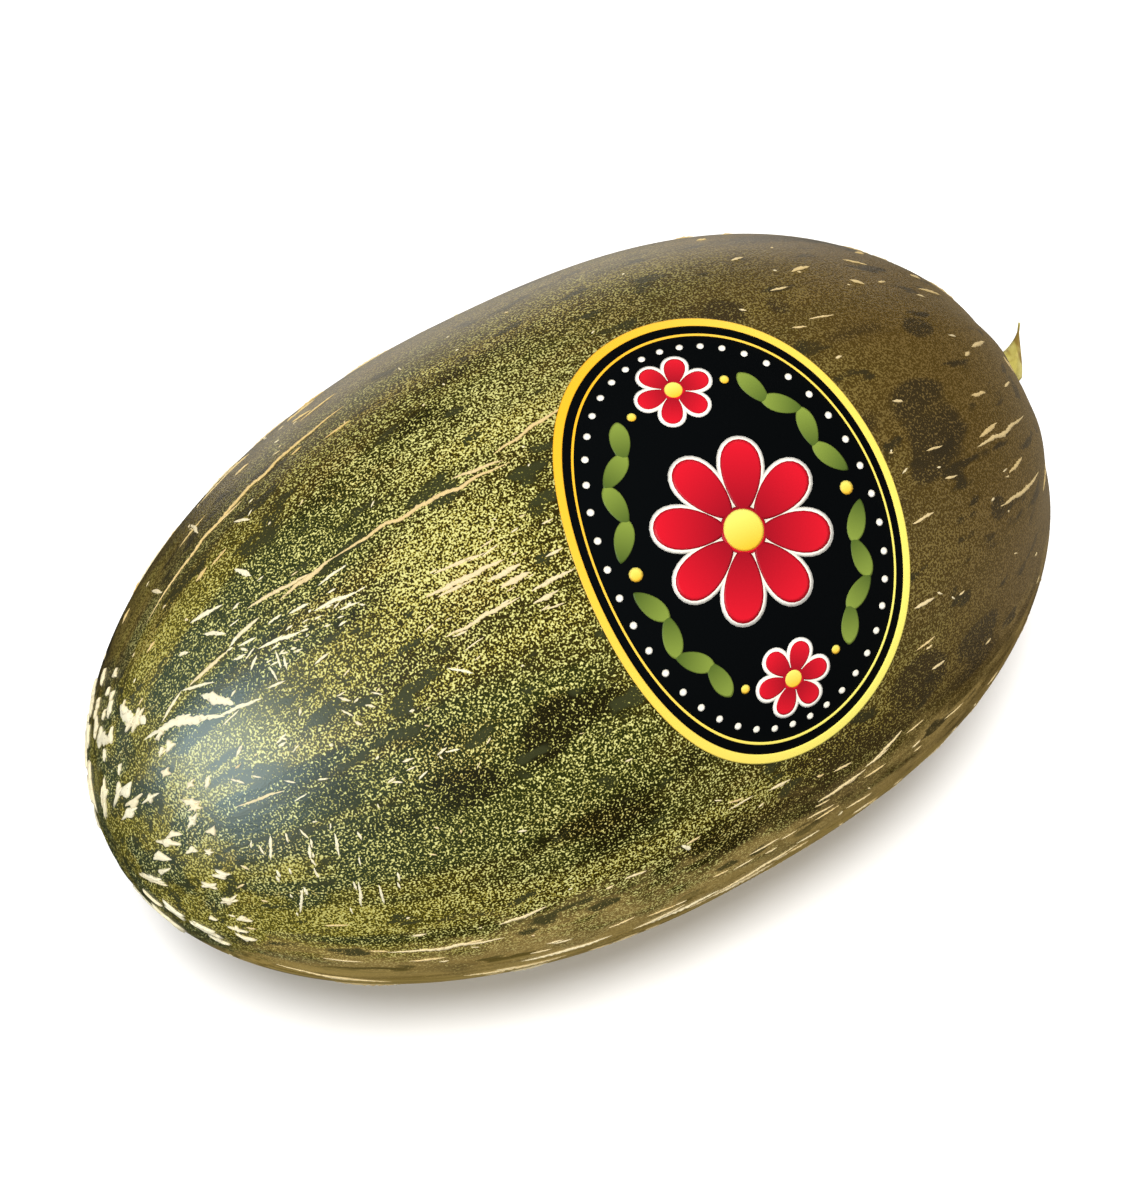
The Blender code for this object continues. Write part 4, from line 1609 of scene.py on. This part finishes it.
@dataclass
class Stem:
    """The torn stub of the stem, from a rod bent along its axis and ridged.

    Each wave of its fibres has a count round it, a turn and a twist along it, in radians.
    """

    skin: Skin
    finish: StemFinish = field(default_factory=StemFinish)
    foot_gap: float = 0.0003
    corner_reach: float = 0.0055
    tip_offset: Triple = (0.0100, 0.0100, 0.0122)
    foot_radius: float = 0.0062
    neck_radius: float = 0.0044
    foot_share: float = 0.30
    tear_radius: float = 0.0095
    tear_power: float = 1.6
    tip_radius: float = 0.00025
    tongue_width: float = 1.5
    ridges: int = 5
    ridge_depth: float = 0.07
    fibre_waves: tuple[Triple, ...] = ((17, 1.0, 0.0), (29, 4.0, 3.0))
    fibre_depth: float = 0.025
    nudge: float = 0.001
    sides: int = 60
    cuts: int = 70

    def axis(self, share: np.ndarray) -> np.ndarray:
        """Return points of the stem's axis, from 0 at its foot to 1 at its tip.

        Args:
            share: how far along it.

        Returns:
            A row of x, y and z for each share, from the melon's middle.
        """
        half = self.skin.length / 2
        seat = np.array(self.skin.seat_middle)
        foot = seat + (self.foot_gap, 0, 0)
        corner = np.array((half + self.corner_reach, seat[1], seat[2]))
        tip = np.array(self.tip_offset) + (half, 0, 0)
        share = np.asarray(share)[..., None]
        return foot * (1 - share) ** 2 + corner * 2 * share * (1 - share) + tip * share**2

    def radius(self, share: np.ndarray) -> np.ndarray:
        """Return the stem's radius: a flared foot, a neck and the slanting tear up to the tip.

        Args:
            share: how far along the axis.

        Returns:
            The radius at each share.
        """
        flare = 1 - smooth_step(share / self.foot_share)
        neck = self.neck_radius + (self.foot_radius - self.neck_radius) * flare
        tear = self.tear_radius * np.maximum(1 - share, 0.0) ** self.tear_power
        return np.maximum(np.minimum(neck, tear), self.tip_radius)

    def build(self) -> bpy.types.Object:
        """Return the stem.

        Returns:
            The piece that stands for the stem's solid.
        """
        relief = Relief(self.skin)
        plain, share, turn = relief.rod(self.cuts, self.sides)
        ahead = self.axis(share + self.nudge) - self.axis(share)
        ahead /= np.linalg.norm(ahead, axis=-1, keepdims=True)
        corner_way = self.axis(np.array([0.5, 0.0, 1.0]))
        flat_way = np.cross(corner_way[0] - corner_way[1], corner_way[2] - corner_way[0])
        flat_way /= np.linalg.norm(flat_way)
        outer_way = np.cross(flat_way, ahead)
        radius = self.radius(share) * (1 + self.ridge_depth * np.cos(self.ridges * turn))
        fibres = [np.sin(count * turn + at + twist * share) for count, at, twist in self.fibre_waves]
        radius = radius * (1 + self.fibre_depth * np.mean(fibres, axis=0))
        width = 1 + (self.tongue_width - 1) * smooth_step(share)
        spread = outer_way * np.cos(turn)[:, None] + flat_way * (width * np.sin(turn))[:, None]
        places = self.axis(share) + spread * radius[:, None] + np.array(self.skin.middle)
        relief.add(plain, places, share)
        return relief.finished("stem_stub", self.finish.build(self.skin), "stem", "stem")


class Reach(Enum):
    """What a light is for: the sheen on a surface, or its colour and the shadows."""

    SHEEN = "sheen"
    COLOUR = "colour"


class Lamp(NamedTuple):
    """A rectangular light: its place from the melon's middle, size, power and colour.

    A card lies near the floor and faces straight up; any other lamp faces the melon.
    """

    name: str
    place: Triple
    size: Span
    power: float
    colour: Colour
    reach: Reach
    card: bool = False


LAMPS = (
    Lamp("Window", (-1.12, 0.0, 0.47), (1.0, 0.7), 35.0, (0.68, 0.88, 1.0), Reach.SHEEN),
    Lamp("Card", (0.20, 0.50, -0.078), (0.55, 0.6), 1.7, (1.0, 0.93, 0.80), Reach.SHEEN, card=True),
    Lamp("Low card", (0.32, -0.06, -0.078), (0.3, 0.4), 0.2, (1.0, 0.82, 0.56), Reach.SHEEN, card=True),
    Lamp("Back fill", (0.6, 0.9, 0.5), (0.8, 0.6), 6.0, (1.0, 0.98, 0.95), Reach.COLOUR),
    Lamp("Warm fill", (0.9, -0.75, 0.15), (0.8, 0.6), 4.5, (1.0, 0.97, 0.93), Reach.COLOUR),
    Lamp("Fill", (-1.2, -0.6, 0.25), (1.0, 0.7), 5.5, (0.98, 1.0, 0.98), Reach.COLOUR),
)


@dataclass
class Studio:
    """A pale floor, soft lights and the camera at the photograph's angle."""

    skin: Skin
    heading: float = 30.66
    elevation: float = 60.0
    distance: float = 1.1
    focus_pixels: float = 4224.0
    picture: tuple[int, int] = (1140, 1200)
    melon_pixel: Span = (572.3, 612.7)
    sensor_mm: float = 36.0
    floor_size: float = 3.0
    floor_colour: Colour = (0.92, 0.92, 0.93)
    floor_roughness: float = 0.9
    floor_specular: float = 0.1
    world_strength: float = 0.38
    key_strength: float = 2.85
    key_degrees: float = 15.0
    key_colour: Colour = (1.0, 0.99, 0.96)
    key_way: Triple = (0.17, 0.22, -0.96)

    def build(self) -> None:
        """Add the floor, the lights and the camera."""
        self.add_camera()
        self.add_floor()
        self.add_world()
        for lamp in LAMPS:
            self.add_lamp(lamp)
        self.add_key()
        bpy.context.scene.view_settings.view_transform = "Standard"

    def add_camera(self) -> None:
        """Add the camera and make it the scene's."""
        turn, tilt = math.radians(self.heading), math.radians(self.elevation)
        right = Vector((math.cos(turn), -math.sin(turn), 0))
        level = Vector((math.sin(turn), math.cos(turn), 0))
        ahead = level * math.cos(tilt) - Vector((0, 0, 1)) * math.sin(tilt)
        up = right.cross(ahead)
        width, height = self.picture
        data = bpy.data.cameras.new("Camera")
        data.sensor_fit = "VERTICAL"
        data.sensor_height = self.sensor_mm
        data.lens = self.focus_pixels / height * self.sensor_mm
        data.shift_x = (width / 2 - self.melon_pixel[0]) / height
        data.shift_y = (self.melon_pixel[1] - height / 2) / height
        camera = bpy.data.objects.new("Camera", data)
        turned = Matrix((right, up, -ahead)).transposed().to_4x4()
        camera.matrix_world = Matrix.Translation(self.skin.middle - ahead * self.distance) @ turned
        bpy.context.scene.collection.objects.link(camera)
        bpy.context.scene.camera = camera

    def add_floor(self) -> None:
        """Add a wide pale floor under the melon."""
        mesh = bmesh.new()
        bmesh.ops.create_grid(mesh, x_segments=1, y_segments=1, size=self.floor_size)
        data = bpy.data.meshes.new("floor")
        mesh.to_mesh(data)
        mesh.free()
        n = Nodes("Floor")
        n.surface(self.floor_colour, self.floor_roughness, self.floor_specular)
        data.materials.append(n.material)
        floor = bpy.data.objects.new("floor", data)
        bpy.context.scene.collection.objects.link(floor)
        floor.visible_glossy = False
        floor.visible_diffuse = False

    def add_world(self) -> None:
        """Surround the scene with even white light that leaves no sheen."""
        world = bpy.data.worlds.new("World")
        world.use_nodes = True
        background = world.node_tree.nodes["Background"]
        background.inputs["Color"].default_value = (1, 1, 1, 1)
        background.inputs["Strength"].default_value = self.world_strength
        world.cycles_visibility.glossy = False
        bpy.context.scene.world = world

    def add_lamp(self, lamp: Lamp) -> None:
        """Add a rectangular light.

        Args:
            lamp: its place and looks.
        """
        place = Vector(lamp.place)
        data = bpy.data.lights.new(lamp.name, "AREA")
        data.shape = "RECTANGLE"
        data.size, data.size_y = lamp.size
        data.energy = lamp.power
        data.color = lamp.colour
        light = bpy.data.objects.new(lamp.name, data)
        light.location = self.skin.middle + place
        light.rotation_euler = (-place).to_track_quat("-Z", "Y").to_euler()
        if lamp.card:
            light.rotation_euler = (math.pi, 0, 0)
            light.visible_camera = False
        light.visible_diffuse = lamp.reach is Reach.COLOUR
        light.visible_glossy = lamp.reach is Reach.SHEEN
        bpy.context.scene.collection.objects.link(light)

    def add_key(self) -> None:
        """Add the soft key light that casts the shadow."""
        data = bpy.data.lights.new("Key", "SUN")
        data.energy = self.key_strength
        data.angle = math.radians(self.key_degrees)
        data.color = self.key_colour
        key = bpy.data.objects.new("Key", data)
        key.rotation_euler = Vector(self.key_way).to_track_quat("-Z", "Y").to_euler()
        key.visible_glossy = False
        bpy.context.scene.collection.objects.link(key)


def main() -> None:
    """Load the frame and build the melon and its studio."""
    logging.basicConfig(level=logging.INFO, format="%(asctime)s %(message)s")
    LOG.info("start")
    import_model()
    LOG.info("loaded")
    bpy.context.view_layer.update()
    skin = Skin(MELON_MIDDLE)
    label = Label(skin)
    Studio(skin).build()
    Rind(skin).build()
    CorkNet(skin, label, CorkFinish()).build()
    label.build()
    Stem(skin).build()


if __name__ == "__main__":
    main()
